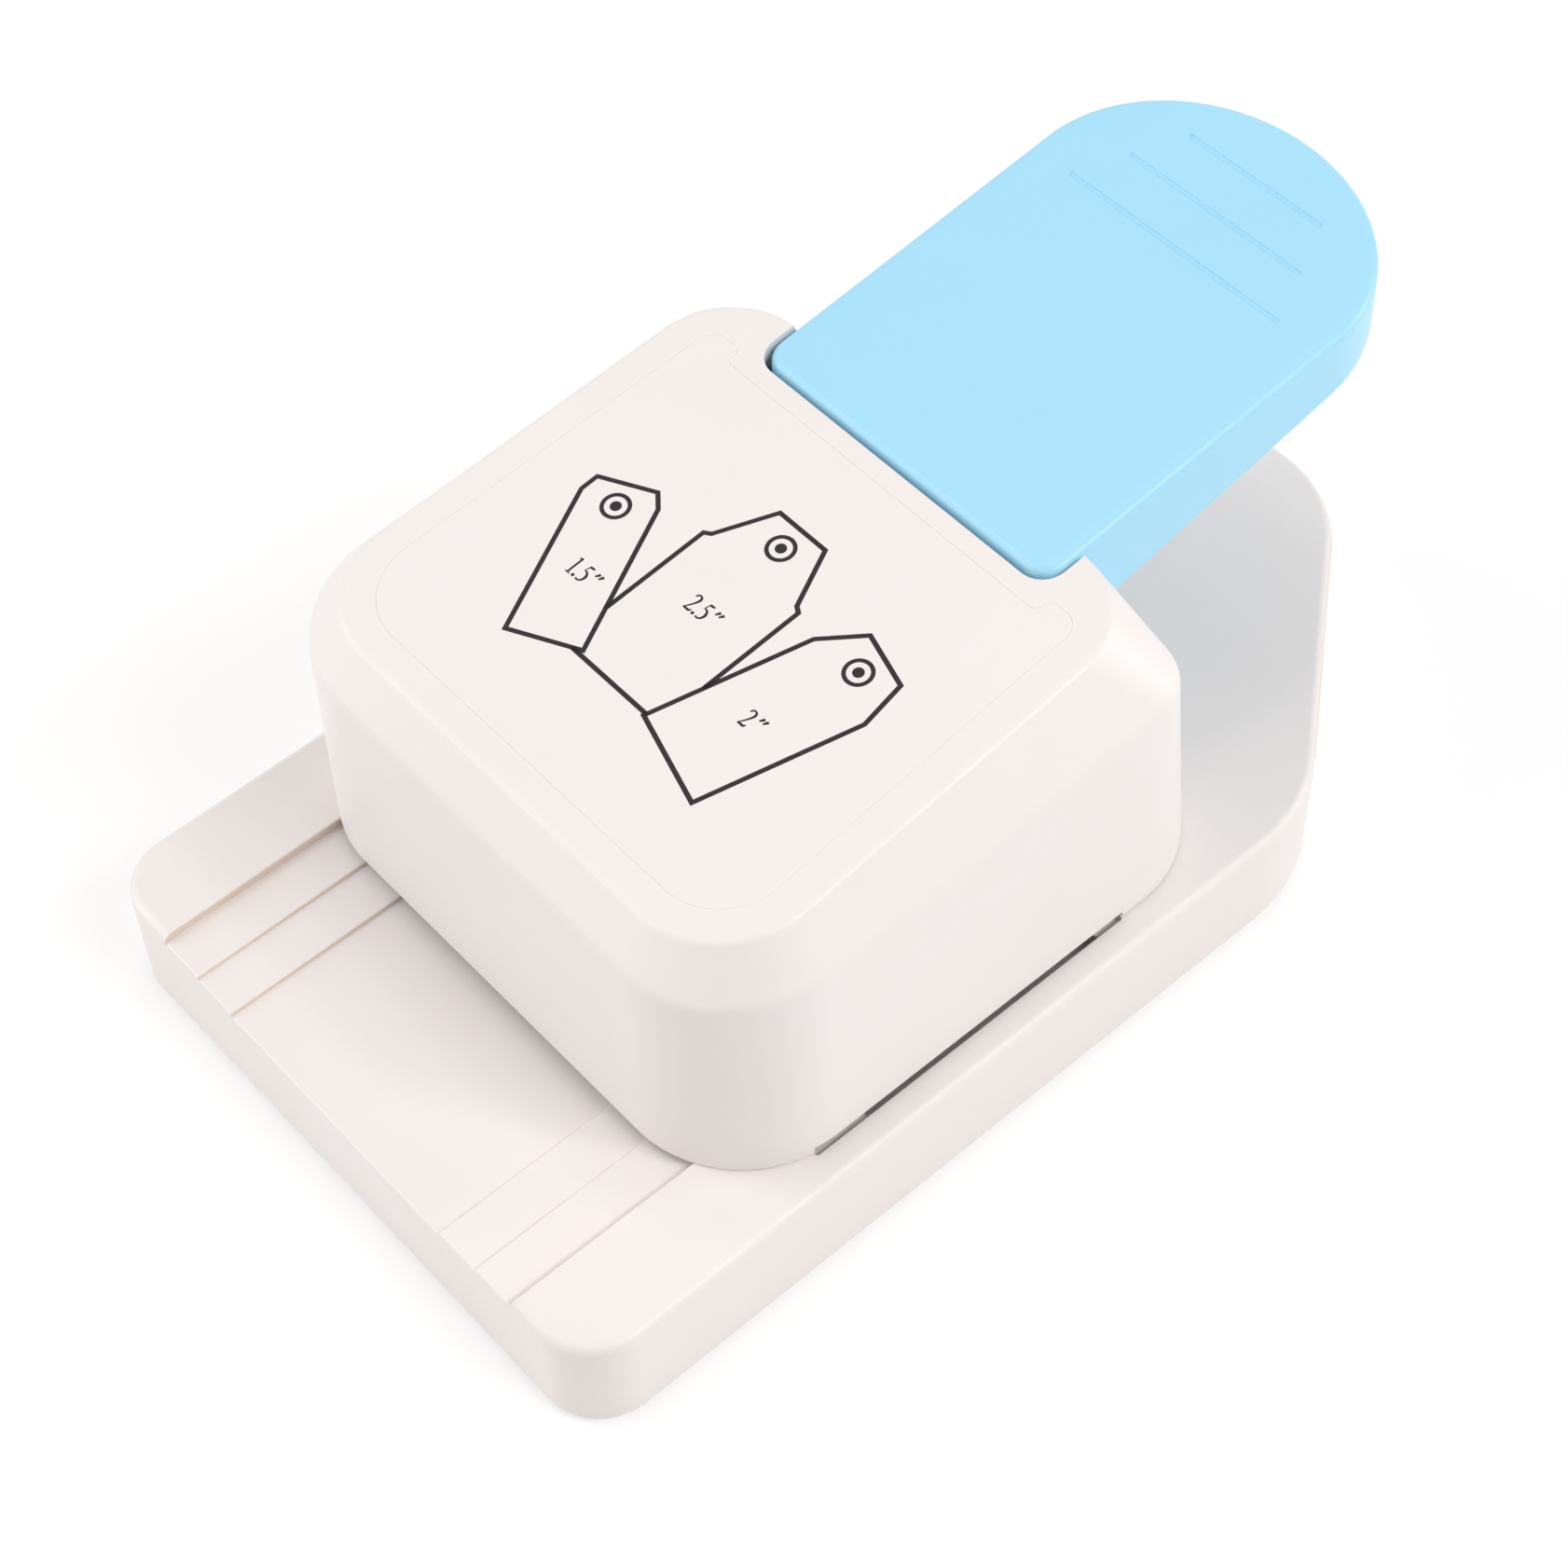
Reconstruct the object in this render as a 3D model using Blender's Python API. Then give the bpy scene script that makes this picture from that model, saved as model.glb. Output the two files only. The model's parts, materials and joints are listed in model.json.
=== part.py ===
"""Label punch: a lever press that clips both corners of a paper label and punches its string hole.

Metres, +Z up, front facing -Y. The origin is the centre of the footprint, on the surface that the
feet stand on. Widths are built up from the widest label, and heights from the feet to the head.
"""
import math

import bmesh
import bpy
from mathutils import Matrix, Vector

# Fits
SEAT = 0.0003
OVERRUN = 0.002
ROUND_STEPS = 8
FINE_STEPS = 5
CIRCLE_STEPS = 24
SCREW_STEPS = 16
EDGE_SHARE = 0.25

# Labels and the shape that the punches leave at a label's end
LABEL_WIDTHS = (0.0635, 0.0508, 0.0381)
CHANNEL_DEPTHS = (0.0012, 0.00165, 0.00215)
LABEL_END_WIDTH = 0.029
CORNER_CUT_LENGTH = 0.034
CORNER_CUT_JOG = 0.0035
STRING_HOLE_RADIUS = 0.00275
STRING_HOLE_SETBACK = 0.012
PUNCH_OVERLAP = 0.0008
PUNCH_REAR_OVERLAP = 0.0015

# Stack of steel plates, from the waste bay up
DIE_THICKNESS = 0.002
PAPER_GAP = 0.0015
STRIPPER_THICKNESS = 0.0016
GUIDE_STRIP_WIDTH = 0.00465
PLATE_REAR_RADIUS = 0.004
PLATE_REAR_MARGIN = 0.0112
PUNCH_SETBACK = 0.01765

# Guide frame
FRAME_FLOOR = 0.0024
CHEEK_THICKNESS = 0.0036
CHEEK_DEPTH = 0.013
CHEEK_SETBACK = 0.0032
FRAME_WEB_THICKNESS = 0.0022
FRAME_WEB_HEIGHT = 0.0145
FRAME_GUSSET_LENGTH = 0.007

# Ram, its punches, posts and springs
RAM_TRAVEL = 0.0055
RAM_CLEARANCE = 0.0004
RAM_PLATE_THICKNESS = 0.0055
RAM_LIP = 0.0003
RAM_CORNER_RADIUS = 0.003
HUB_WIDTH = 0.03
HUB_SETBACK = 0.0018
HUB_REAR_SETBACK = 0.0027
PAD_WIDTH = 0.026
PAD_LENGTH = 0.01
PAD_HEIGHT = 0.0016
PUNCH_RETRACTION = 0.0005
PUNCH_SHEAR = 0.0009
DOWEL_RADIUS = 0.0012
DOWEL_LENGTH = 0.004
DOWEL_SHARES = (0.25, 0.8)
HOLE_PUNCH_STEM_RADIUS = 0.002
HOLE_PUNCH_STEM_LENGTH = 0.008
HOLE_PUNCH_CUP_DEPTH = 0.0008
POST_RADIUS = 0.002
POST_SPREAD = 0.018
POST_SETBACK = 0.008
POST_PROTRUSION = 0.001
SPRING_WIRE_RADIUS = 0.0004
SPRING_RADIUS = 0.0034
SPRING_TURNS = 7
SPRING_POINTS_PER_TURN = 10
SPRING_LEAST_GAP = 0.0004
WELL_RADIUS = 0.0046
WELL_DEPTH = 0.01

# Lever
HINGE_SETBACK = 0.0101
NOSE_REACH = 0.025
NOSE_RADIUS = 0.004
NOSE_WIDTH = 0.024
ARM_WIDTH = 0.036
ARM_RIB = 0.0024
ARM_SKIN = 0.0028
ARM_ROOM = 0.0008
ARM_RISE = 0.001
BARREL_RADIUS = 0.0055
HINGE_PIN_RADIUS = 0.002
HINGE_HEAD_RADIUS = 0.0032
HINGE_HEAD_THICKNESS = 0.0015
HINGE_PIN_TAIL = 0.0026
CLIP_RADIUS = 0.0034
CLIP_THICKNESS = 0.0006
CLIP_GROOVE_RADIUS = 0.0014
CLIP_MOUTH = 0.0022
LEVER_WIDTH = 0.0461
LEVER_STRAIGHT = 0.0451
LEVER_TAIL_LENGTH = 0.0189
LEVER_SLOPE = 0.1283
LEVER_CORNER_RADIUS = 0.0032
LEVER_EDGE_RADIUS = 0.0012
LEVER_WALL = 0.0022
LEVER_SKIN = 0.0024
LEVER_DRAFT = 0.00015
SKIRT_DEPTH = 0.0128
SKIRT_SLOPE = 0.215
GRIP_COUNT = 3
GRIP_PITCH = 0.00665
GRIP_LENGTH = 0.033
GRIP_SHORTENING = 0.0061
GRIP_WIDTH = 0.0009
GRIP_DEPTH = 0.0005
GRIP_ROUND_SHARE = 0.7
GRIP_TAIL_MARGIN = 0.0085
LEVER_RIB = 0.0016
LEVER_CELL = 0.014
LEVER_CROSS_RIBS = 2

# Head cover
HEAD_HEIGHT = 0.03725
COVER_WALL = 0.0022
COVER_FIT = 0.00045
HEAD_REAR_ROOM = 0.0104
HEAD_CORNER_RADIUS = 0.0155
HEAD_DRAFT = 0.0004
HEAD_FRONT_DRAFT = 0.00015
HEAD_REAR_LEAN = 0.0089
HEAD_ROOM = 0.0016
HEAD_TOP_SLOPE = 0.113
HEAD_FOLD_SLOPE = 0.067
HEAD_BEVEL_HEIGHT = 0.0059
HEAD_BEVEL_FRONT = 0.0038
HEAD_BEVEL_SIDE = 0.0045
HEAD_BEVEL_REAR = 0.0025
HEAD_FOLD_REAR_RADIUS = 0.006
HEAD_TOP_TAPER = 0.0015
HEAD_TOP_CORNER_RADIUS = 0.0116
HEAD_TOP_REAR_RADIUS = 0.0111
HEAD_EDGE_REACH = 0.0011
HEAD_FOLD_REACH = 0.0014
SLIT_HEIGHT = 0.0012
NOTCH_LENGTH = 0.0176
NOTCH_FRONT_GAP = 0.0007
NOTCH_GAP = 0.00045
NOTCH_WALL = 0.002
NOTCH_ROOM = 0.0012
PANEL_THICKNESS = 0.0005
PANEL_MARGIN = 0.0037
PANEL_NOTCH_MARGIN = 0.0026
PANEL_CORNER_RADIUS = 0.0082
PANEL_EAR_LENGTH = 0.0022
PANEL_EAR_MARGIN = 0.0016
PANEL_EAR_RADIUS = 0.0009

# Base
SIDE_LEDGE = 0.00385
HEAD_SETBACK = 0.0237
BASE_LENGTH = 0.1495
BASE_HEIGHT = 0.0153
BASE_FRONT_RADIUS = 0.0076
BASE_TAPER_LENGTH = 0.0389
BASE_TAIL_WIDTH = 0.0236
BASE_SHOULDER_RADIUS = 0.022
BASE_TAIL_RADIUS = 0.018
BASE_EDGE_RADIUS = 0.0012
BASE_WALL = 0.0024
BASE_FLOOR_SKIN = 0.002
BASE_RIB = 0.0016
BASE_CELL = 0.014
BAY_MARGIN = 0.001
SIDE_WELL_REACH = 0.0001
SIDE_WELL_STEP = 0.001
FOOT_RADIUS = 0.005
FOOT_PROUD = 0.001
FOOT_SINK = 0.001
FOOT_PAD_WALL = 0.0015
FOOT_FRONT_INSET = 0.01
FOOT_REAR_SETBACK = 0.0175
FOOT_REAR_SPREAD = 0.036

# Screws that clamp base, plates, frame and cover together
SCREW_RADIUS = 0.0013
SCREW_HEAD_RADIUS = 0.0026
SCREW_HEAD_HEIGHT = 0.0018
SCREW_HEAD_DEPTH = 0.004
SCREW_GRIP = 0.008
SCREW_SETBACK = 0.01275
SCREW_REAR_INSET = 0.0031
BOSS_RADIUS = 0.003
BOSS_TIP = 0.0015
BASE_BOSS_RADIUS = 0.0043

# Waste bay cover
CHAD_COVER_THICKNESS = 0.002
CHAD_COVER_GAP = 0.0004
CHAD_COVER_CORNER_RADIUS = 0.002
TRUNNION_LENGTH = 0.0016
TRUNNION_SHARE = 0.95
FINGER_RADIUS = 0.007
FINGER_DEPTH = 0.0012
LIP_LENGTH = 0.01
LIP_REACH = 0.0012
LIP_HEIGHT = 0.002

# Places across the width, from the widest label out to the base
BAY_HALF = LABEL_WIDTHS[0] / 2 + PUNCH_OVERLAP + BAY_MARGIN
PUNCH_OUTER = LABEL_WIDTHS[0] / 2 + PUNCH_OVERLAP
GUIDE_INNER = PUNCH_OUTER + SEAT
PLATE_HALF = GUIDE_INNER + GUIDE_STRIP_WIDTH
SCREW_X = PLATE_HALF - GUIDE_STRIP_WIDTH / 2
HEAD_HALF = PLATE_HALF + COVER_FIT + COVER_WALL
BASE_HALF = HEAD_HALF + SIDE_LEDGE
ARM_HALF = ARM_WIDTH / 2
CHEEK_INNER = ARM_HALF + SEAT
CHEEK_OUTER = CHEEK_INNER + CHEEK_THICKNESS
LEVER_HALF = LEVER_WIDTH / 2
NOTCH_HALF = LEVER_HALF + NOTCH_GAP

# Places from front to rear
BASE_FRONT = -BASE_LENGTH / 2
BASE_REAR = BASE_LENGTH / 2
HEAD_FRONT = BASE_FRONT + HEAD_SETBACK
PLATE_FRONT = HEAD_FRONT + COVER_WALL + COVER_FIT
PUNCH_FRONT = PLATE_FRONT + PUNCH_SETBACK
STOP_Y = PUNCH_FRONT + CORNER_CUT_LENGTH
PUNCH_REAR = STOP_Y + PUNCH_REAR_OVERLAP
PLATE_REAR = STOP_Y + PLATE_REAR_MARGIN
HEAD_REAR = PLATE_REAR + HEAD_REAR_ROOM + COVER_WALL
HINGE_Y = PLATE_FRONT + HINGE_SETBACK
NOSE_Y = HINGE_Y + NOSE_REACH
HOLE_PUNCH_Y = STOP_Y - STRING_HOLE_SETBACK
POST_Y = PUNCH_FRONT + POST_SETBACK
HUB_FRONT = PUNCH_FRONT + HUB_SETBACK
HUB_REAR = PUNCH_REAR - HUB_REAR_SETBACK
SCREW_FRONT_Y = PLATE_FRONT + SCREW_SETBACK
SCREW_REAR_Y = PLATE_REAR - SCREW_REAR_INSET
SLIT_FRONT = SCREW_FRONT_Y - BOSS_RADIUS
SLIT_REAR = SCREW_REAR_Y - BOSS_RADIUS
BAY_FRONT = PUNCH_FRONT - BAY_MARGIN
BAY_REAR = PUNCH_REAR + BAY_MARGIN
TRUNNION_Y = BAY_REAR - CHAD_COVER_GAP - CHAD_COVER_THICKNESS / 2
NOTCH_FRONT = HEAD_REAR - NOTCH_LENGTH
LEVER_FRONT = NOTCH_FRONT + NOTCH_FRONT_GAP
LEVER_TAIL_Y = LEVER_FRONT + LEVER_STRAIGHT

# Heights
BASE_BOTTOM = FOOT_PROUD
BASE_TOP = BASE_BOTTOM + BASE_HEIGHT
DIE_TOP = BASE_TOP - CHANNEL_DEPTHS[2]
DIE_BOTTOM = DIE_TOP - DIE_THICKNESS
RECESS_FLOOR = DIE_BOTTOM - SEAT
BASE_CEILING = RECESS_FLOOR - BASE_FLOOR_SKIN
STRIPPER_BOTTOM = DIE_TOP + PAPER_GAP
STRIPPER_TOP = STRIPPER_BOTTOM + STRIPPER_THICKNESS
FRAME_BOTTOM = STRIPPER_TOP + SEAT
FRAME_TOP = FRAME_BOTTOM + FRAME_FLOOR
RAM_BOTTOM = FRAME_TOP + RAM_TRAVEL + RAM_CLEARANCE
RAM_PLATE_TOP = RAM_BOTTOM + RAM_PLATE_THICKNESS
HEAD_TOP_AT_HINGE = BASE_TOP + HEAD_HEIGHT
HINGE_Z = HEAD_TOP_AT_HINGE - COVER_WALL - HEAD_ROOM - BARREL_RADIUS
PAD_TOP = HINGE_Z - NOSE_RADIUS - SEAT
HUB_TOP = PAD_TOP - PAD_HEIGHT
PUNCH_TIP = STRIPPER_BOTTOM + PUNCH_RETRACTION
WELL_TOP = RAM_BOTTOM + WELL_DEPTH
HEAD_BOTTOM = BASE_TOP + SEAT
SCREW_HEAD_BOTTOM = BASE_BOTTOM + SCREW_HEAD_DEPTH
SCREW_TIP = FRAME_TOP + SEAT + SCREW_GRIP

LEVER_ANGLE = RAM_TRAVEL / NOSE_REACH


def head_top(y):
    """Height of the head's top plane."""
    return HEAD_TOP_AT_HINGE + HEAD_TOP_SLOPE * (y - HINGE_Y)


def head_fold(y):
    """Height of the fold under the head's bevel."""
    front = HEAD_FRONT + HEAD_FRONT_DRAFT + HEAD_BEVEL_FRONT
    return head_top(front) - HEAD_BEVEL_HEIGHT + HEAD_FOLD_SLOPE * (y - HEAD_FRONT)


def lever_top(y):
    """Height of the lever's top plane, flush with the head at the notch."""
    return head_top(LEVER_FRONT) + LEVER_SLOPE * (y - LEVER_FRONT)


def skirt_bottom(y):
    """Height of the lever's lower edge."""
    return lever_top(LEVER_FRONT) - SKIRT_DEPTH + SKIRT_SLOPE * (y - LEVER_FRONT)


def arm_top(y):
    """Height of the lever arm's top, under the head's skin."""
    return head_top(y) - COVER_WALL - ARM_ROOM


def pressed_height(y, z):
    """Height that a point of the lever reaches when the lever is fully pressed."""
    reach = y - HINGE_Y
    rise = z - HINGE_Z
    return HINGE_Z - reach * math.sin(LEVER_ANGLE) + rise * math.cos(LEVER_ANGLE)


def flat(height):
    """A height function of a level plane."""
    return lambda y: height


def clear_scene():
    for old in list(bpy.data.objects):
        bpy.data.objects.remove(old, do_unlink=True)


def finish(name, colour, roughness, metallic=0.0):
    """A plain shader for one kind of piece."""
    made = bpy.data.materials.new(name)
    made.use_nodes = True
    shader = made.node_tree.nodes["Principled BSDF"]
    shader.inputs["Base Color"].default_value = (*colour, 1.0)
    shader.inputs["Roughness"].default_value = roughness
    shader.inputs["Metallic"].default_value = metallic
    return made


def offset(corners, distance):
    """An outline of (x, y, radius) corners grown by a distance, with its round corners following."""
    grown = []
    count = len(corners)
    for index, (x, y, radius) in enumerate(corners):
        before = Vector((x, y)) - Vector(corners[index - 1][:2])
        after = Vector(corners[(index + 1) % count][:2]) - Vector((x, y))
        before.normalize()
        after.normalize()
        out_before = Vector((before.y, -before.x))
        out_after = Vector((after.y, -after.x))
        reach = distance / (1 + out_before.dot(out_after))
        place = Vector((x, y)) + (out_before + out_after) * reach
        convex = before.cross(after) > 0
        if radius > 0:
            radius = max(radius + (distance if convex else -distance), SEAT)
        grown.append((place.x, place.y, radius))
    return grown


def rounded(corners, steps=ROUND_STEPS):
    """Points of an outline whose corners are arcs; a corner without a radius stays a point."""
    points = []
    count = len(corners)
    for index, (x, y, radius) in enumerate(corners):
        here = Vector((x, y))
        if radius <= 0:
            points.append(here)
            continue
        before = (here - Vector(corners[index - 1][:2])).normalized()
        after = (Vector(corners[(index + 1) % count][:2]) - here).normalized()
        turn = math.atan2(before.cross(after), before.dot(after))
        start = here - before * radius * math.tan(abs(turn) / 2)
        side = Vector((-before.y, before.x)) * math.copysign(1, turn)
        centre = start + side * radius
        for step in range(steps + 1):
            angle = turn * step / steps
            spoke = start - centre
            spoke.rotate(Matrix.Rotation(angle, 2))
            points.append(centre + spoke)
    return points


def box_corners(x_low, x_high, y_low, y_high, radius=0.0):
    return [(x_low, y_low, radius), (x_high, y_low, radius), (x_high, y_high, radius),
            (x_low, y_high, radius)]


def mirrored(corners):
    """The outline on the other side of the middle plane."""
    return [(-x, y, radius) for x, y, radius in reversed(corners)]


def ring(points, height):
    """An outline lifted to a height that may vary from front to rear."""
    return [Vector((point[0], point[1], height(point[1]))) for point in points]


def softened(lower, corner, upper, reach, steps=FINE_STEPS):
    """Rings that round the edge at a ring, between its neighbours."""
    rings = []
    for step in range(steps + 1):
        share = step / steps
        made = []
        for low, edge, high in zip(lower, corner, upper):
            start = edge + (low - edge).normalized() * reach
            end = edge + (high - edge).normalized() * reach
            made.append(start * (1 - share) ** 2 + edge * 2 * share * (1 - share) + end * share ** 2)
        rings.append(made)
    return rings


def add_object(name, mesh_builder, material=None):
    """A new object from a function that fills a bmesh."""
    builder = bmesh.new()
    mesh_builder(builder)
    bmesh.ops.recalc_face_normals(builder, faces=builder.faces)
    mesh = bpy.data.meshes.new(name)
    builder.to_mesh(mesh)
    builder.free()
    made = bpy.data.objects.new(name, mesh)
    bpy.context.scene.collection.objects.link(made)
    if material:
        mesh.materials.append(material)
    return made


def loft(name, rings, material=None):
    """A closed solid through rings of equal point counts."""

    def build(builder):
        rows = [[builder.verts.new(point) for point in row] for row in rings]
        count = len(rows[0])
        for below, above in zip(rows, rows[1:]):
            for index in range(count):
                following = (index + 1) % count
                builder.faces.new((below[index], below[following], above[following], above[index]))
        builder.faces.new(list(reversed(rows[0])))
        builder.faces.new(rows[-1])

    return add_object(name, build, material)


def prism(name, corners, low, high, material=None, steps=ROUND_STEPS):
    """An upright solid on an outline; low and high are heights or height functions."""
    points = rounded(corners, steps)
    low = low if callable(low) else flat(low)
    high = high if callable(high) else flat(high)
    return loft(name, [ring(points, low), ring(points, high)], material)


def side_prism(name, profile, x_low, x_high, material=None):
    """A solid whose (y, z) profile runs across the width."""
    low = [Vector((x_low, y, z)) for y, z in profile]
    high = [Vector((x_high, y, z)) for y, z in profile]
    return loft(name, [low, high], material)


def turned(name, profile, start, direction, material=None, steps=CIRCLE_STEPS):
    """A solid of revolution; the profile holds (distance along the axis, radius) pairs."""
    axis = Vector(direction).normalized()
    across = axis.orthogonal().normalized()
    other = axis.cross(across)
    rings = []
    for along, radius in profile:
        centre = Vector(start) + axis * along
        rings.append([centre + (across * math.cos(2 * math.pi * step / steps)
                                + other * math.sin(2 * math.pi * step / steps)) * radius
                      for step in range(steps)])
    return loft(name, rings, material)


def rod(name, radius, start, end, material=None, steps=CIRCLE_STEPS):
    """A plain round bar between two points."""
    span = Vector(end) - Vector(start)
    return turned(name, [(0, radius), (span.length, radius)], start, span, material, steps)


def combine(target, tool, operation):
    """Join or cut with another solid, which then only guides the shape."""
    step = target.modifiers.new(tool.name, "BOOLEAN")
    step.operation = operation
    step.object = tool
    step.solver = "EXACT"
    tool.hide_render = True
    tool.display_type = "WIRE"


def cut(target, tool):
    combine(target, tool, "DIFFERENCE")


def join(target, tool):
    combine(target, tool, "UNION")


def place_origin(piece, point):
    """Moves a piece's origin without moving the piece."""
    shift = Vector(point)
    for vertex in piece.data.vertices:
        vertex.co -= shift
    piece.location = shift


def smooth(piece, angle=math.radians(32)):
    """Round faces shaded smooth, true edges kept sharp."""
    piece.data.shade_smooth()
    piece.data.set_sharp_from_angle(angle=angle)


def on_both_sides(maker):
    """Runs a maker for the left and the right side, with the side's sign."""
    return [maker("left", -1), maker("right", 1)]


def screw_places():
    """Name and plan position of each clamping screw."""
    return [(f"{row}_{side}", sign * SCREW_X, y)
            for row, y in (("front", SCREW_FRONT_Y), ("rear", SCREW_REAR_Y))
            for side, sign in (("left", -1), ("right", 1))]


def foot_places():
    """Name and plan position of each foot."""
    front_x = BASE_HALF - FOOT_FRONT_INSET
    return [("front_left", -front_x, BASE_FRONT + FOOT_FRONT_INSET),
            ("front_right", front_x, BASE_FRONT + FOOT_FRONT_INSET),
            ("rear_left", -FOOT_REAR_SPREAD / 2, BASE_REAR - FOOT_REAR_SETBACK),
            ("rear_right", FOOT_REAR_SPREAD / 2, BASE_REAR - FOOT_REAR_SETBACK)]


def base_corners():
    """Plan of the base: a rectangle in front, drawn in to a short edge at the rear."""
    shoulder = BASE_REAR - BASE_TAPER_LENGTH
    tail = BASE_TAIL_WIDTH / 2
    return [(-BASE_HALF, BASE_FRONT, BASE_FRONT_RADIUS), (BASE_HALF, BASE_FRONT, BASE_FRONT_RADIUS),
            (BASE_HALF, shoulder, BASE_SHOULDER_RADIUS), (tail, BASE_REAR, BASE_TAIL_RADIUS),
            (-tail, BASE_REAR, BASE_TAIL_RADIUS), (-BASE_HALF, shoulder, BASE_SHOULDER_RADIUS)]


def plate_corners():
    """Plan that the die, the paper guide, the stripper and the frame's floor share."""
    front_radius = HEAD_CORNER_RADIUS - COVER_WALL - COVER_FIT
    return [(-PLATE_HALF, PLATE_FRONT, front_radius), (PLATE_HALF, PLATE_FRONT, front_radius),
            (PLATE_HALF, PLATE_REAR, PLATE_REAR_RADIUS), (-PLATE_HALF, PLATE_REAR, PLATE_REAR_RADIUS)]


def corner_punch_corners():
    """Plan of the right corner punch: its slanted edge is the cut that every label width shares."""
    end = LABEL_END_WIDTH / 2
    foot = LABEL_WIDTHS[0] / 2 - CORNER_CUT_JOG
    return [(end, STOP_Y, 0), (foot, PUNCH_FRONT, 0), (PUNCH_OUTER, PUNCH_FRONT, 0),
            (PUNCH_OUTER, PUNCH_REAR, 0), (end, PUNCH_REAR, 0)]


def screw_holes(target, low, high):
    """Clearance holes for the clamping screws."""
    for name, x, y in screw_places():
        hole = rod(f"{target.name}_screw_hole_{name}", SCREW_RADIUS + SEAT, (x, y, low), (x, y, high))
        cut(target, hole)


def punch_holes(target, low, high):
    """Openings for the corner punches and the hole punch."""
    opening = offset(corner_punch_corners(), SEAT)
    cut(target, prism(f"{target.name}_opening_right", opening, low, high))
    cut(target, prism(f"{target.name}_opening_left", mirrored(opening), low, high))
    cut(target, rod(f"{target.name}_string_opening", STRING_HOLE_RADIUS + SEAT,
                    (0, HOLE_PUNCH_Y, low), (0, HOLE_PUNCH_Y, high)))


def rib_places(half, widest):
    """Places of the ribs that divide a hollow into equal cells, none above the widest."""
    count = math.ceil(2 * half / widest)
    return [2 * half * number / count - half for number in range(1, count)]


def base_cavity():
    """The hollow under the base, less the ribs, bosses and pads that stay in it."""
    inner = offset(base_corners(), -BASE_WALL)
    hollow = prism("base_hollow", inner, BASE_BOTTOM - OVERRUN, BASE_CEILING)
    low = BASE_BOTTOM - OVERRUN - SEAT
    high = BASE_CEILING + OVERRUN
    wall = prism("base_bay_wall", box_corners(-BAY_HALF - BASE_WALL, BAY_HALF + BASE_WALL,
                                              BAY_FRONT - BASE_WALL, BAY_REAR + BASE_WALL), low, high)
    cut(hollow, wall)
    for number, x in enumerate(rib_places(BASE_HALF - BASE_WALL, BASE_CELL)):
        rib = box_corners(x - BASE_RIB / 2, x + BASE_RIB / 2, BASE_FRONT, BASE_REAR)
        cut(hollow, prism(f"base_long_rib_{number}", rib, low, high))
    for number, y in enumerate(rib_places(BASE_LENGTH / 2 - BASE_WALL, BASE_CELL)):
        rib = box_corners(-BASE_HALF, BASE_HALF, y - BASE_RIB / 2, y + BASE_RIB / 2)
        cut(hollow, prism(f"base_cross_rib_{number}", rib, low, high))
    for name, x, y in screw_places():
        cut(hollow, rod(f"base_boss_{name}", BASE_BOSS_RADIUS, (x, y, low), (x, y, high)))
    for name, x, y in foot_places():
        cut(hollow, rod(f"base_pad_{name}", FOOT_RADIUS + FOOT_PAD_WALL, (x, y, low), (x, y, high)))
    return hollow


def waste_bay():
    """The well under the die, less the two lips that stop the cover when it closes."""
    plan = box_corners(-BAY_HALF, BAY_HALF, BAY_FRONT, BAY_REAR)
    bay = prism("waste_bay", plan, BASE_BOTTOM - OVERRUN, RECESS_FLOOR + OVERRUN)
    low = BASE_BOTTOM + CHAD_COVER_THICKNESS + SEAT
    for side, sign in (("left", -1), ("right", 1)):
        middle = sign * BAY_HALF / 2
        lip = box_corners(middle - LIP_LENGTH / 2, middle + LIP_LENGTH / 2, BAY_FRONT - OVERRUN,
                          BAY_FRONT + LIP_REACH)
        cut(bay, prism(f"cover_lip_{side}", lip, low, low + LIP_HEIGHT))
    return bay


def side_well(side, sign):
    """A stepped slot in the base under the head's side slit: shallow ends, and deep beside the punches."""
    near = sign * PLATE_HALF
    far = sign * (HEAD_HALF + SIDE_WELL_REACH)
    span = (min(near, far), max(near, far))
    well = prism(f"side_well_{side}", box_corners(*span, SLIT_FRONT, SLIT_REAR), BASE_TOP - SIDE_WELL_STEP,
                 BASE_TOP + OVERRUN)
    join(well, prism(f"deep_well_{side}", box_corners(*span, PUNCH_FRONT, PUNCH_REAR),
                     RECESS_FLOOR + SEAT, BASE_TOP + OVERRUN + SEAT))
    return well


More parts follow.
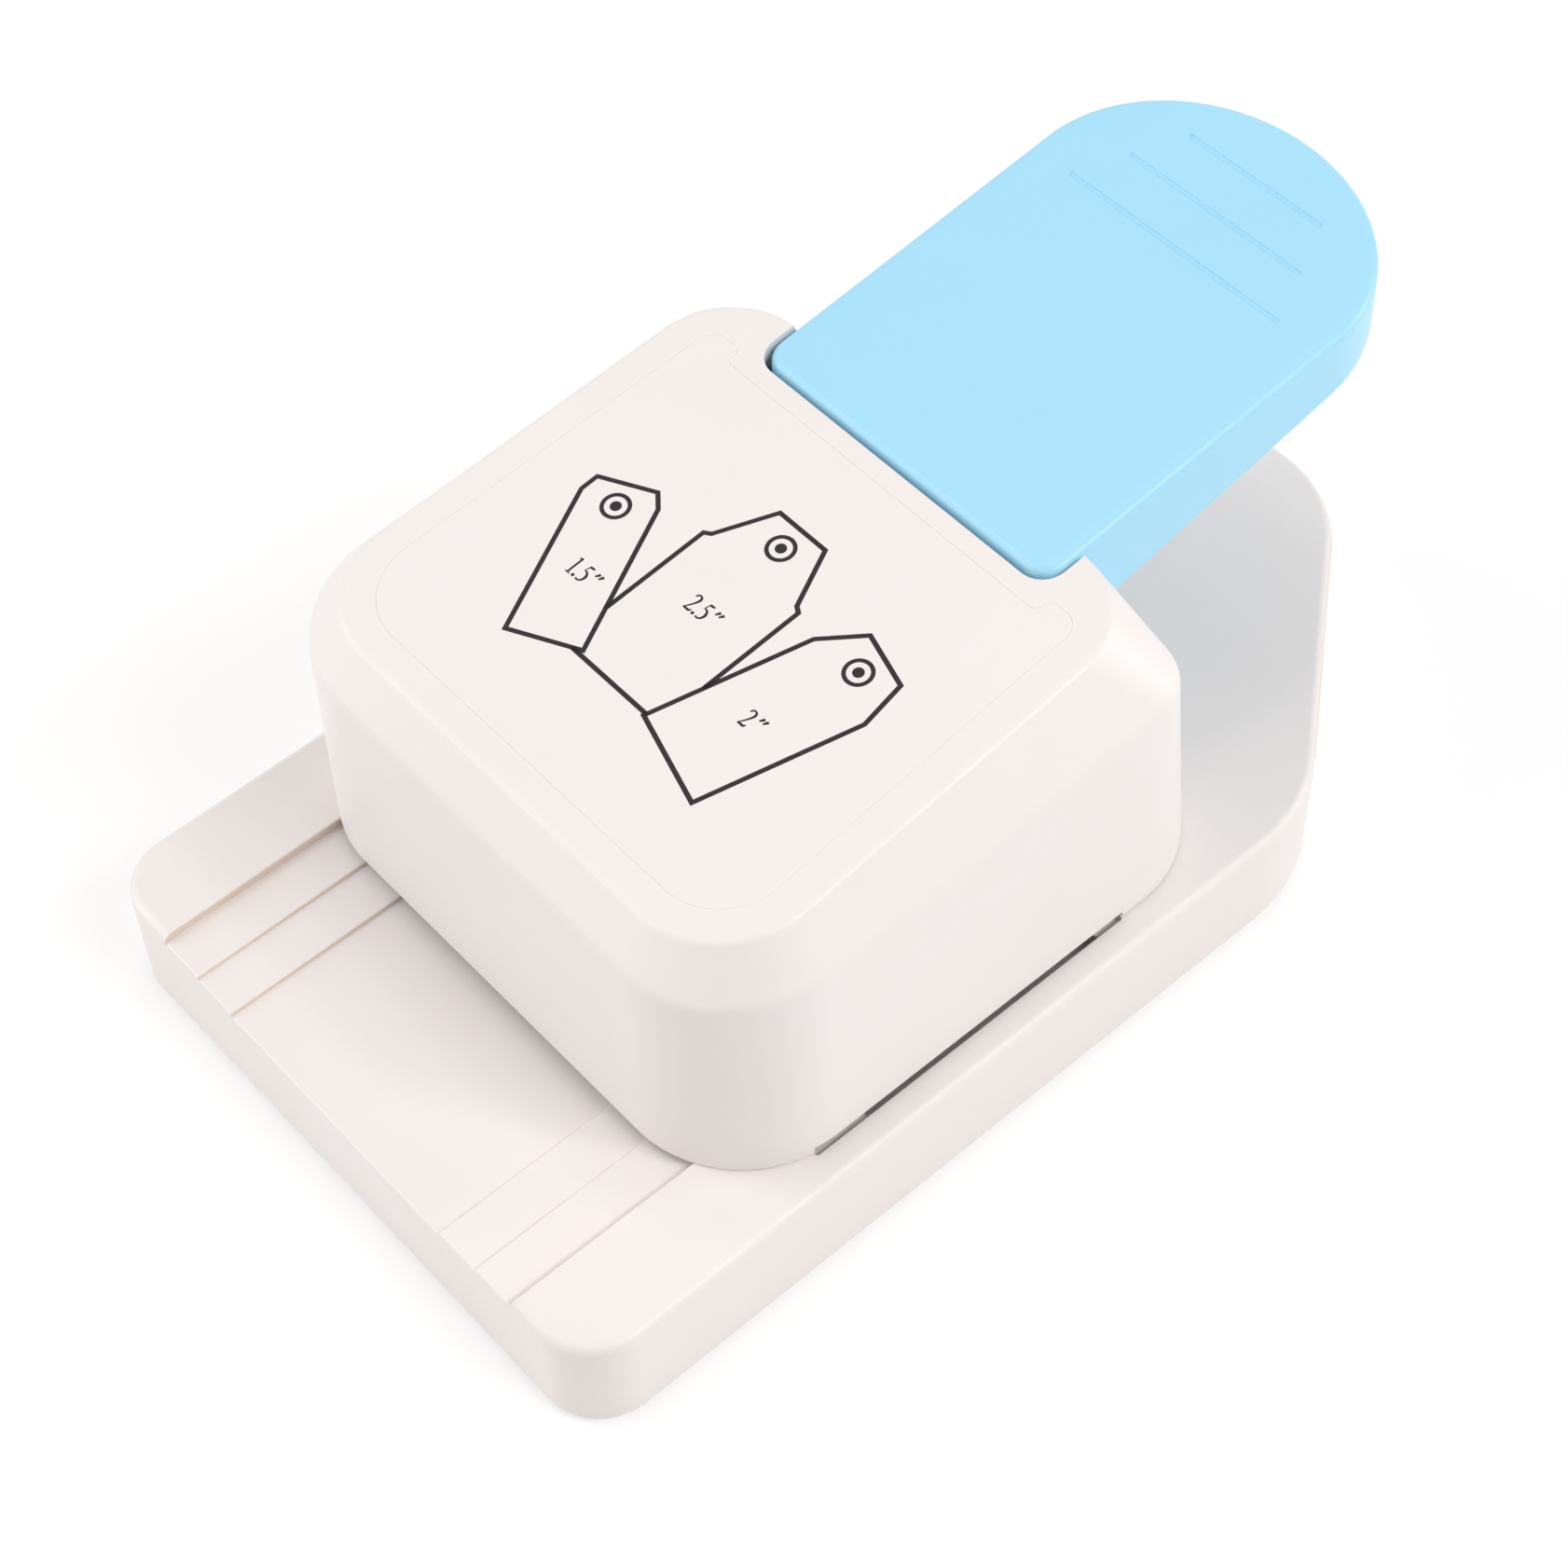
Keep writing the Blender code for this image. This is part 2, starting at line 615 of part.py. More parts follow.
def make_base(material):
    """Moulded slab: stepped paper channel above, waste bay and ribbed hollow below."""
    outline = base_corners()
    shrunk = rounded(offset(outline, -BASE_EDGE_RADIUS))
    full = rounded(outline)
    inner = rounded(offset(outline, -BASE_EDGE_RADIUS - OVERRUN))
    foot = ring(full, flat(BASE_BOTTOM))
    edge = ring(full, flat(BASE_TOP))
    rim = softened(foot, edge, ring(shrunk, flat(BASE_TOP)), BASE_EDGE_RADIUS)
    base = loft("base_shell", [foot, *rim, ring(inner, flat(BASE_TOP))], material)
    for number, (width, depth) in enumerate(zip(LABEL_WIDTHS, CHANNEL_DEPTHS)):
        lane = box_corners(-width / 2, width / 2, BASE_FRONT - OVERRUN, PLATE_FRONT + OVERRUN)
        cut(base, prism(f"channel_{number}", lane, BASE_TOP - depth, BASE_TOP + OVERRUN))
    recess = offset(plate_corners(), SEAT)
    cut(base, prism("die_recess", recess, RECESS_FLOOR, BASE_TOP + OVERRUN))
    for well in on_both_sides(side_well):
        cut(base, well)
    cut(base, base_cavity())
    cut(base, waste_bay())
    screw_holes(base, BASE_BOTTOM, BASE_TOP)
    for name, x, y in screw_places():
        head_room = SCREW_HEAD_RADIUS + SEAT
        top = SCREW_HEAD_BOTTOM + SCREW_HEAD_HEIGHT + SEAT
        cut(base, rod(f"counterbore_{name}", head_room, (x, y, BASE_BOTTOM - OVERRUN), (x, y, top)))
    for name, x, y in foot_places():
        cut(base, rod(f"foot_recess_{name}", FOOT_RADIUS + SEAT, (x, y, BASE_BOTTOM - OVERRUN),
                      (x, y, BASE_BOTTOM + FOOT_SINK + SEAT)))
    trunnion_z = BASE_BOTTOM + CHAD_COVER_THICKNESS / 2
    socket_end = BAY_HALF - CHAD_COVER_GAP + TRUNNION_LENGTH + SEAT
    cut(base, rod("trunnion_sockets", CHAD_COVER_THICKNESS / 2 + SEAT, (-socket_end, TRUNNION_Y, trunnion_z),
                  (socket_end, TRUNNION_Y, trunnion_z)))
    cut(base, rod("finger_recess", FINGER_RADIUS, (0, BAY_FRONT, BASE_BOTTOM - OVERRUN),
                  (0, BAY_FRONT, BASE_BOTTOM + FINGER_DEPTH)))
    smooth(base)
    return base


def make_feet(material):
    """Rubber discs, each with a domed edge, sunk in the base's pads."""
    for name, x, y in foot_places():
        height = FOOT_PROUD + FOOT_SINK
        edge = FOOT_PROUD / 2
        foot = turned(f"foot_{name}", [(0, FOOT_RADIUS - edge), (edge, FOOT_RADIUS), (height, FOOT_RADIUS)],
                      (x, y, 0), (0, 0, 1), material)
        smooth(foot)


def make_plates(steel, guide_material):
    """Die, paper guide and stripper, all on one plan."""
    die = prism("die_plate", plate_corners(), DIE_BOTTOM, DIE_TOP, steel)
    punch_holes(die, DIE_BOTTOM - OVERRUN, DIE_TOP + OVERRUN)
    screw_holes(die, DIE_BOTTOM - OVERRUN, DIE_TOP + OVERRUN)
    guide_low = DIE_TOP + SEAT
    guide_high = STRIPPER_BOTTOM - SEAT
    guide = prism("paper_guide", plate_corners(), guide_low, guide_high, guide_material)
    lane = box_corners(-GUIDE_INNER, GUIDE_INNER, PLATE_FRONT - OVERRUN, PUNCH_REAR + SEAT)
    tongue = box_corners(-LABEL_END_WIDTH / 2 + SEAT, LABEL_END_WIDTH / 2 - SEAT, STOP_Y,
                         PUNCH_REAR + OVERRUN)
    gap = prism("paper_lane", lane, guide_low - OVERRUN, guide_high + OVERRUN)
    cut(gap, prism("paper_stop", tongue, guide_low - OVERRUN - SEAT, guide_high + OVERRUN + SEAT))
    cut(guide, gap)
    screw_holes(guide, guide_low - OVERRUN, guide_high + OVERRUN)
    stripper = prism("stripper_plate", plate_corners(), STRIPPER_BOTTOM, STRIPPER_TOP, steel)
    punch_holes(stripper, STRIPPER_BOTTOM - OVERRUN, STRIPPER_TOP + OVERRUN)
    screw_holes(stripper, STRIPPER_BOTTOM - OVERRUN, STRIPPER_TOP + OVERRUN)


def hinge_bore(name, reach):
    """Running bore for the lever's pin."""
    return rod(name, HINGE_PIN_RADIUS + SEAT, (-reach, HINGE_Y, HINGE_Z), (reach, HINGE_Y, HINGE_Z))


def make_frame(material):
    """Moulded frame: a floor on the stripper, two cheeks for the lever's pin and a web between them."""
    frame = prism("guide_frame", plate_corners(), FRAME_BOTTOM, FRAME_TOP, material)
    cheek_front = PLATE_FRONT + CHEEK_SETBACK
    cheek_rear = cheek_front + CHEEK_DEPTH
    root = FRAME_TOP - FRAME_FLOOR / 2
    arc = [(HINGE_Y + BARREL_RADIUS * math.cos(angle), HINGE_Z + BARREL_RADIUS * math.sin(angle))
           for angle in [math.pi * step / ROUND_STEPS for step in range(ROUND_STEPS + 1)]]
    profile = [(cheek_front, root), (cheek_rear, root), (cheek_rear, FRAME_TOP + FRAME_WEB_HEIGHT), *arc,
               (cheek_front, FRAME_TOP + FRAME_WEB_HEIGHT)]

    def cheek(side, sign):
        near = sign * CHEEK_INNER
        far = sign * CHEEK_OUTER
        join(frame, side_prism(f"cheek_{side}", profile, min(near, far), max(near, far)))
        gusset = [(cheek_front, root), (cheek_front + FRAME_WEB_THICKNESS, root),
                  (cheek_front + FRAME_WEB_THICKNESS, FRAME_TOP + FRAME_WEB_HEIGHT),
                  (cheek_front, FRAME_TOP + FRAME_WEB_HEIGHT)]
        outer = sign * (CHEEK_OUTER + FRAME_GUSSET_LENGTH)
        middle = sign * (CHEEK_OUTER - CHEEK_THICKNESS / 2)
        join(frame, side_prism(f"gusset_{side}", gusset, min(middle, outer), max(middle, outer)))

    on_both_sides(cheek)
    web = box_corners(-CHEEK_INNER - CHEEK_THICKNESS / 2, CHEEK_INNER + CHEEK_THICKNESS / 2,
                      cheek_front + SEAT, cheek_front + FRAME_WEB_THICKNESS - SEAT)
    join(frame, prism("frame_web", web, root, FRAME_TOP + FRAME_WEB_HEIGHT - SEAT))
    punch_holes(frame, FRAME_BOTTOM - OVERRUN, FRAME_TOP + OVERRUN)
    screw_holes(frame, FRAME_BOTTOM - OVERRUN, FRAME_TOP + OVERRUN)
    for side, sign in (("left", -1), ("right", 1)):
        x = sign * POST_SPREAD / 2
        cut(frame, rod(f"frame_post_hole_{side}", POST_RADIUS + SEAT, (x, POST_Y, FRAME_BOTTOM - OVERRUN),
                       (x, POST_Y, FRAME_TOP + OVERRUN)))
    cut(frame, hinge_bore("frame_pin_hole", CHEEK_OUTER + OVERRUN))
    smooth(frame)


def make_ram(material):
    """Die-cast punch block: a wide plate for the corner punches and a hub with the spring wells."""
    plate = box_corners(-PUNCH_OUTER, PUNCH_OUTER, PUNCH_FRONT - RAM_LIP, PUNCH_REAR + RAM_LIP,
                        RAM_CORNER_RADIUS)
    ram = prism("ram", plate, RAM_BOTTOM, RAM_PLATE_TOP, material, FINE_STEPS)
    hub = box_corners(-HUB_WIDTH / 2, HUB_WIDTH / 2, HUB_FRONT, HUB_REAR, RAM_CORNER_RADIUS)
    join(ram, prism("ram_hub", hub, RAM_PLATE_TOP - SEAT, HUB_TOP, steps=FINE_STEPS))
    pad = box_corners(-PAD_WIDTH / 2, PAD_WIDTH / 2, NOSE_Y - PAD_LENGTH / 2, NOSE_Y + PAD_LENGTH / 2)
    join(ram, prism("ram_pad", pad, HUB_TOP - SEAT, PAD_TOP))
    for side, sign in (("left", -1), ("right", 1)):
        x = sign * POST_SPREAD / 2
        cut(ram, rod(f"spring_well_{side}", WELL_RADIUS, (x, POST_Y, RAM_BOTTOM - OVERRUN),
                     (x, POST_Y, WELL_TOP)))
        cut(ram, rod(f"ram_post_hole_{side}", POST_RADIUS + SEAT, (x, POST_Y, WELL_TOP - OVERRUN),
                     (x, POST_Y, HUB_TOP + OVERRUN)))
        for number, (x_dowel, y_dowel) in enumerate(dowel_places()):
            cut(ram, rod(f"ram_dowel_hole_{side}_{number}", DOWEL_RADIUS + SEAT,
                         (sign * x_dowel, y_dowel, RAM_BOTTOM - OVERRUN),
                         (sign * x_dowel, y_dowel, RAM_BOTTOM + DOWEL_LENGTH)))
    cut(ram, rod("ram_stem_hole", HOLE_PUNCH_STEM_RADIUS + SEAT, (0, HOLE_PUNCH_Y, RAM_BOTTOM - OVERRUN),
                 (0, HOLE_PUNCH_Y, RAM_BOTTOM + HOLE_PUNCH_STEM_LENGTH)))
    smooth(ram)
    return ram


def dowel_places():
    """Dowels of the right corner punch, along the middle of its widening plan."""
    places = []
    for share in DOWEL_SHARES:
        y = PUNCH_FRONT + CORNER_CUT_LENGTH * share
        foot = LABEL_WIDTHS[0] / 2 - CORNER_CUT_JOG
        edge = foot + (LABEL_END_WIDTH / 2 - foot) * share
        places.append(((edge + PUNCH_OUTER) / 2, y))
    return places


def make_corner_punches(steel):
    """Triangular cutters whose lower face is sheared, so that the cut runs from front to rear."""
    top = RAM_BOTTOM - SEAT
    slope = PUNCH_SHEAR / (PUNCH_REAR - PUNCH_FRONT)

    def lower_face(y):
        return PUNCH_TIP + slope * (y - PUNCH_FRONT)

    made = []
    for side, sign in (("left", -1), ("right", 1)):
        corners = corner_punch_corners() if sign > 0 else mirrored(corner_punch_corners())
        punch = prism(f"corner_punch_{side}", corners, lower_face, top, steel)
        for number, (x, y) in enumerate(dowel_places()):
            join(punch, rod(f"dowel_{side}_{number}", DOWEL_RADIUS, (sign * x, y, top - OVERRUN),
                            (sign * x, y, RAM_BOTTOM + DOWEL_LENGTH - SEAT)))
        made.append(punch)
    return made


def make_hole_punch(steel):
    """Round punch with a hollow-ground tip and a thinner stem in the ram."""
    shank = RAM_BOTTOM - SEAT - PUNCH_TIP
    stem = RAM_BOTTOM + HOLE_PUNCH_STEM_LENGTH - SEAT - PUNCH_TIP
    punch = turned("hole_punch", [(0, STRING_HOLE_RADIUS), (shank, STRING_HOLE_RADIUS),
                                  (shank, HOLE_PUNCH_STEM_RADIUS), (stem, HOLE_PUNCH_STEM_RADIUS)],
                   (0, HOLE_PUNCH_Y, PUNCH_TIP), (0, 0, 1), steel)
    cup = turned("hole_punch_cup", [(-OVERRUN, STRING_HOLE_RADIUS), (HOLE_PUNCH_CUP_DEPTH, SEAT)],
                 (0, HOLE_PUNCH_Y, PUNCH_TIP), (0, 0, 1))
    cut(punch, cup)
    smooth(punch)
    return punch


def make_posts_and_springs(steel, wire):
    """Guide posts with the return springs round them."""
    for side, sign in (("left", -1), ("right", 1)):
        x = sign * POST_SPREAD / 2
        tip = HUB_TOP + POST_PROTRUSION
        edge = POST_RADIUS * EDGE_SHARE
        low = FRAME_BOTTOM
        profile = [(0, POST_RADIUS), (tip - low - edge, POST_RADIUS), (tip - low, POST_RADIUS - edge)]
        post = turned(f"guide_post_{side}", profile, (x, POST_Y, low), (0, 0, 1), steel)
        smooth(post)
        make_spring(f"return_spring_{side}", x, wire)


def spring_points(x):
    """Centre line of one spring: straight ends, one steady helix between them."""
    low = FRAME_TOP + SEAT + SPRING_WIRE_RADIUS
    high = WELL_TOP - SEAT - SPRING_WIRE_RADIUS
    steps = SPRING_TURNS * SPRING_POINTS_PER_TURN
    points = []
    for step in range(steps + 1):
        angle = 2 * math.pi * step / SPRING_POINTS_PER_TURN
        spoke = Vector((math.cos(angle), math.sin(angle), 0)) * SPRING_RADIUS
        points.append(Vector((x, POST_Y, low + (high - low) * step / steps)) + spoke)
    lead = SPRING_WIRE_RADIUS * 2
    first = points[0] + Vector((0, -lead, 0))
    last = points[-1] + Vector((0, lead, 0))
    return [first, *points, last]


def least_gap(points):
    """Smallest space between stretches of wire that lie a turn apart."""
    turn = SPRING_POINTS_PER_TURN
    nearest = min((points[index] - points[index + turn + shift]).length
                  for index in range(len(points) - turn - 1) for shift in (-1, 0, 1))
    return nearest - 2 * SPRING_WIRE_RADIUS


def make_spring(name, x, wire):
    """A wound wire as one unbroken tube."""
    points = spring_points(x)
    gap = least_gap(points)
    print(f"{name}: least gap between turns {gap:.5f} m, wanted over {SPRING_LEAST_GAP:.5f} m")
    curve = bpy.data.curves.new(name, "CURVE")
    curve.dimensions = "3D"
    curve.bevel_depth = SPRING_WIRE_RADIUS
    curve.bevel_resolution = 1
    curve.use_fill_caps = True
    line = curve.splines.new("POLY")
    line.points.add(len(points[1:]))
    for slot, point in zip(line.points, points):
        slot.co = (*point, 1.0)
    curve.materials.append(wire)
    made = bpy.data.objects.new(name, curve)
    bpy.context.scene.collection.objects.link(made)


def lever_outline(growth=0.0):
    """Plan of the lever: square front with round corners, and a tail that is half an ellipse."""
    half = LEVER_HALF + growth
    front = LEVER_FRONT - growth
    corner = LEVER_CORNER_RADIUS + growth
    points = []
    for centre_x, start in ((-half + corner, -math.pi), (half - corner, -math.pi / 2)):
        for step in range(FINE_STEPS + 1):
            angle = start + math.pi / 2 * step / FINE_STEPS
            points.append((centre_x + corner * math.cos(angle), front + corner + corner * math.sin(angle)))
    for step in range(CIRCLE_STEPS + 1):
        angle = math.pi * step / CIRCLE_STEPS
        points.append((half * math.cos(angle), LEVER_TAIL_Y + (LEVER_TAIL_LENGTH + growth) * math.sin(angle)))
    return points


def lever_shell(material):
    """Top, softened edge and drafted skirt of the lever, hollow below."""
    outer = lever_outline()
    low = ring(lever_outline(LEVER_DRAFT), skirt_bottom)
    edge = ring(outer, lever_top)
    top = ring(lever_outline(-LEVER_EDGE_RADIUS), lever_top)
    inner = ring(lever_outline(-LEVER_WALL), lever_top)
    shell = loft("lever", [low, *softened(low, edge, top, LEVER_EDGE_RADIUS), inner], material)
    ceiling = ring(lever_outline(-LEVER_WALL), lambda y: lever_top(y) - LEVER_SKIN)
    floor = ring(lever_outline(LEVER_DRAFT - LEVER_WALL), lambda y: skirt_bottom(y) - OVERRUN)
    hollow = loft("lever_hollow", [floor, ceiling])
    for number in range(1, LEVER_CROSS_RIBS + 1):
        y = LEVER_FRONT + (LEVER_TAIL_Y - LEVER_FRONT) * number / LEVER_CROSS_RIBS
        rib = box_corners(-LEVER_HALF, LEVER_HALF, y - LEVER_RIB / 2, y + LEVER_RIB / 2)
        cut(hollow, prism(f"lever_cross_rib_{number}", rib, lambda y: skirt_bottom(y) + OVERRUN,
                          lambda y: lever_top(y) + OVERRUN))
    for number, x in enumerate(rib_places(LEVER_HALF - LEVER_WALL, LEVER_CELL)):
        rib = box_corners(x - LEVER_RIB / 2, x + LEVER_RIB / 2, LEVER_FRONT, LEVER_TAIL_Y + LEVER_TAIL_LENGTH)
        cut(hollow, prism(f"lever_long_rib_{number}", rib, lambda y: skirt_bottom(y) + OVERRUN + SEAT,
                          lambda y: lever_top(y) + OVERRUN + SEAT))
    cut(shell, hollow)
    return shell


def lever_arm():
    """Arm under the head's skin: barrel, ribs and the nose that presses the ram."""
    low = HINGE_Z + ARM_RISE
    rear = LEVER_FRONT + LEVER_WALL - SEAT
    profile = [(HINGE_Y, low), (rear, low), (rear, arm_top(rear)), (HINGE_Y, arm_top(HINGE_Y))]
    arm = side_prism("lever_arm", profile, -ARM_HALF, ARM_HALF)
    cell_half = (ARM_HALF - ARM_RIB - ARM_RIB / 2) / 2
    front_cell = (HINGE_Y + BARREL_RADIUS + ARM_RIB, NOSE_Y - NOSE_RADIUS - ARM_RIB / 2)
    rear_cell = (NOSE_Y + NOSE_RADIUS + ARM_RIB / 2, LEVER_FRONT - ARM_RIB)
    for row, (cell_front, cell_rear) in (("front", front_cell), ("rear", rear_cell)):
        for side, sign in (("left", -1), ("right", 1)):
            middle = sign * (ARM_RIB / 2 + cell_half)
            cell = box_corners(middle - cell_half, middle + cell_half, cell_front, cell_rear)
            cut(arm, prism(f"arm_cell_{row}_{side}", cell, low - OVERRUN, lambda y: arm_top(y) - ARM_SKIN))
    barrel = rod("lever_barrel", BARREL_RADIUS, (-ARM_HALF, HINGE_Y, HINGE_Z), (ARM_HALF, HINGE_Y, HINGE_Z))
    join(arm, barrel)
    nose_low = [(NOSE_Y + NOSE_RADIUS * math.sin(angle), HINGE_Z - NOSE_RADIUS * math.cos(angle))
                for angle in [math.pi * (step / ROUND_STEPS - 0.5) for step in range(ROUND_STEPS + 1)]]
    nose = [*nose_low, (NOSE_Y + NOSE_RADIUS, low + ARM_RIB), (NOSE_Y - NOSE_RADIUS, low + ARM_RIB)]
    join(arm, side_prism("lever_nose", nose, -NOSE_WIDTH / 2, NOSE_WIDTH / 2))
    return arm


def make_lever(material):
    """The lever with its hidden arm, grip grooves and pin bore; its origin is on the hinge axis."""
    lever = lever_shell(material)
    join(lever, lever_arm())
    last = LEVER_TAIL_Y + LEVER_TAIL_LENGTH - GRIP_TAIL_MARGIN
    for index in range(GRIP_COUNT):
        y = last - GRIP_PITCH * (GRIP_COUNT - 1 - index)
        half = (GRIP_LENGTH - GRIP_SHORTENING * index) / 2
        end_radius = GRIP_WIDTH / 2 * GRIP_ROUND_SHARE
        groove = box_corners(-half, half, y - GRIP_WIDTH / 2, y + GRIP_WIDTH / 2, end_radius)
        cut(lever, prism(f"grip_groove_{index}", groove, lambda y: lever_top(y) - GRIP_DEPTH,
                         lambda y: lever_top(y) + OVERRUN, steps=FINE_STEPS))
    cut(lever, hinge_bore("lever_pin_hole", ARM_HALF + OVERRUN))
    place_origin(lever, (0, HINGE_Y, HINGE_Z))
    smooth(lever)


def make_hinge(steel):
    """Headed pin through cheeks and barrel, with a clip in its groove."""
    near = CHEEK_OUTER + SEAT
    head = near + HINGE_HEAD_THICKNESS
    groove = near + SEAT
    groove_end = groove + CLIP_THICKNESS + 2 * SEAT
    tip = near + HINGE_PIN_TAIL
    edge = HINGE_PIN_RADIUS * EDGE_SHARE
    profile = [(0, HINGE_HEAD_RADIUS - edge), (edge, HINGE_HEAD_RADIUS),
               (HINGE_HEAD_THICKNESS, HINGE_HEAD_RADIUS), (HINGE_HEAD_THICKNESS, HINGE_PIN_RADIUS),
               (head + groove, HINGE_PIN_RADIUS),
               (head + groove, CLIP_GROOVE_RADIUS), (head + groove_end, CLIP_GROOVE_RADIUS),
               (head + groove_end, HINGE_PIN_RADIUS), (head + tip - edge, HINGE_PIN_RADIUS),
               (head + tip, HINGE_PIN_RADIUS - edge)]
    pin = turned("hinge_pin", profile, (-head, HINGE_Y, HINGE_Z), (1, 0, 0), steel)
    smooth(pin)
    start = groove + SEAT
    end = start + CLIP_THICKNESS
    clip = rod("hinge_clip", CLIP_RADIUS, (start, HINGE_Y, HINGE_Z), (end, HINGE_Y, HINGE_Z), steel)
    cut(clip, rod("clip_bore", CLIP_GROOVE_RADIUS + SEAT, (start - OVERRUN, HINGE_Y, HINGE_Z),
                  (end + OVERRUN, HINGE_Y, HINGE_Z)))
    low = HINGE_Z - CLIP_RADIUS - OVERRUN
    mouth = [(HINGE_Y - CLIP_MOUTH / 2, low), (HINGE_Y + CLIP_MOUTH / 2, low),
             (HINGE_Y + CLIP_MOUTH / 2, HINGE_Z), (HINGE_Y - CLIP_MOUTH / 2, HINGE_Z)]
    cut(clip, side_prism("clip_mouth", mouth, start - OVERRUN, end + OVERRUN))
    smooth(clip)


def head_corners(growth, insets, radii, taper=0.0):
    """Plan of the head at one level: insets of front, side and rear, and radii in front and at the rear."""
    front_inset, side_inset, rear_inset = insets
    front_radius, rear_radius = radii
    half = HEAD_HALF - side_inset
    front = HEAD_FRONT + front_inset
    rear = HEAD_REAR - rear_inset
    plan = [(-half, front, front_radius), (half, front, front_radius), (half - taper, rear, rear_radius),
            (taper - half, rear, rear_radius)]
    return offset(plan, growth)


def foot_corners(growth):
    """Plan of the head where it meets the base."""
    return head_corners(growth, (0, 0, 0), (HEAD_CORNER_RADIUS, HEAD_CORNER_RADIUS))


def fold_corners(growth):
    """Plan of the head at the fold: the walls draw in by their draft, and the rear wall leans forward."""
    return head_corners(growth, (HEAD_FRONT_DRAFT, HEAD_DRAFT, HEAD_REAR_LEAN),
                        (HEAD_CORNER_RADIUS, HEAD_FOLD_REAR_RADIUS))


def top_corners(growth):
    """Plan of the head's top."""
    return head_corners(growth, (HEAD_FRONT_DRAFT + HEAD_BEVEL_FRONT, HEAD_DRAFT + HEAD_BEVEL_SIDE,
                                 HEAD_REAR_LEAN + HEAD_BEVEL_REAR),
                        (HEAD_TOP_CORNER_RADIUS, HEAD_TOP_REAR_RADIUS), HEAD_TOP_TAPER)


def head_rings(thickness):
    """Foot, fold and top rings of the head, inside the outer skin by a thickness."""
    bevel = math.atan2(HEAD_BEVEL_HEIGHT, HEAD_BEVEL_SIDE)
    fold_drop = thickness * math.tan((math.pi / 2 - bevel) / 2)
    top_inset = thickness * math.tan(bevel / 2)
    foot = rounded(foot_corners(-thickness))
    fold = rounded(fold_corners(-thickness))
    top = rounded(top_corners(-top_inset))
    fold_ring = ring(fold, lambda y: head_fold(y) - fold_drop)
    top_ring = ring(top, lambda y: head_top(y) - thickness)
    return foot, fold_ring, top_ring


def panel_corners():
    """Plan of the label panel: it follows the head's top and passes the notch with two ears."""
    front = HEAD_FRONT + HEAD_FRONT_DRAFT + HEAD_BEVEL_FRONT + PANEL_MARGIN
    rear = NOTCH_FRONT - PANEL_NOTCH_MARGIN
    ear = rear + PANEL_EAR_LENGTH
    front_half = HEAD_HALF - HEAD_BEVEL_SIDE - HEAD_DRAFT - PANEL_MARGIN
    rear_half = front_half - HEAD_TOP_TAPER
    step = NOTCH_HALF + PANEL_EAR_MARGIN
    outer = (rear_half - step) / 2
    return [(-front_half, front, PANEL_CORNER_RADIUS), (front_half, front, PANEL_CORNER_RADIUS),
            (rear_half, ear, outer), (step, ear, PANEL_EAR_RADIUS), (step, rear, PANEL_EAR_RADIUS),
            (-step, rear, PANEL_EAR_RADIUS), (-step, ear, PANEL_EAR_RADIUS), (-rear_half, ear, outer)]


def head_cavity():
    """The hollow of the head, less its screw bosses and the walls beside the notch."""
    foot, fold, top = head_rings(COVER_WALL)
    low = HEAD_BOTTOM - OVERRUN
    hollow = loft("head_hollow", [ring(foot, flat(low)), fold, top])
    high = max(point.z for point in top) + OVERRUN
    boss_low = FRAME_TOP + SEAT
    for name, x, y in screw_places():
        inner = abs(x) - BOSS_RADIUS
        boss = [(inner, y - BOSS_RADIUS, BOSS_RADIUS - SEAT), (HEAD_HALF, y - BOSS_RADIUS, 0),
                (HEAD_HALF, y + BOSS_RADIUS, 0), (inner, y + BOSS_RADIUS, BOSS_RADIUS - SEAT)]
        boss = boss if x > 0 else mirrored(boss)
        cut(hollow, prism(f"head_boss_{name}", boss, boss_low, SCREW_TIP + BOSS_TIP))
    for side, sign in (("left", -1), ("right", 1)):
        near = sign * NOTCH_HALF
        far = sign * (NOTCH_HALF + NOTCH_WALL)
        wall = box_corners(min(near, far), max(near, far), NOTCH_FRONT, HEAD_REAR)
        cut(hollow, prism(f"notch_wall_{side}", wall, notch_floor() - NOTCH_WALL, high))
    return hollow


def notch_floor():
    """The notch is as deep as the pressed lever needs where it leaves the head."""
    reach = HEAD_REAR - COVER_WALL
    return pressed_height(reach, skirt_bottom(reach)) - NOTCH_ROOM


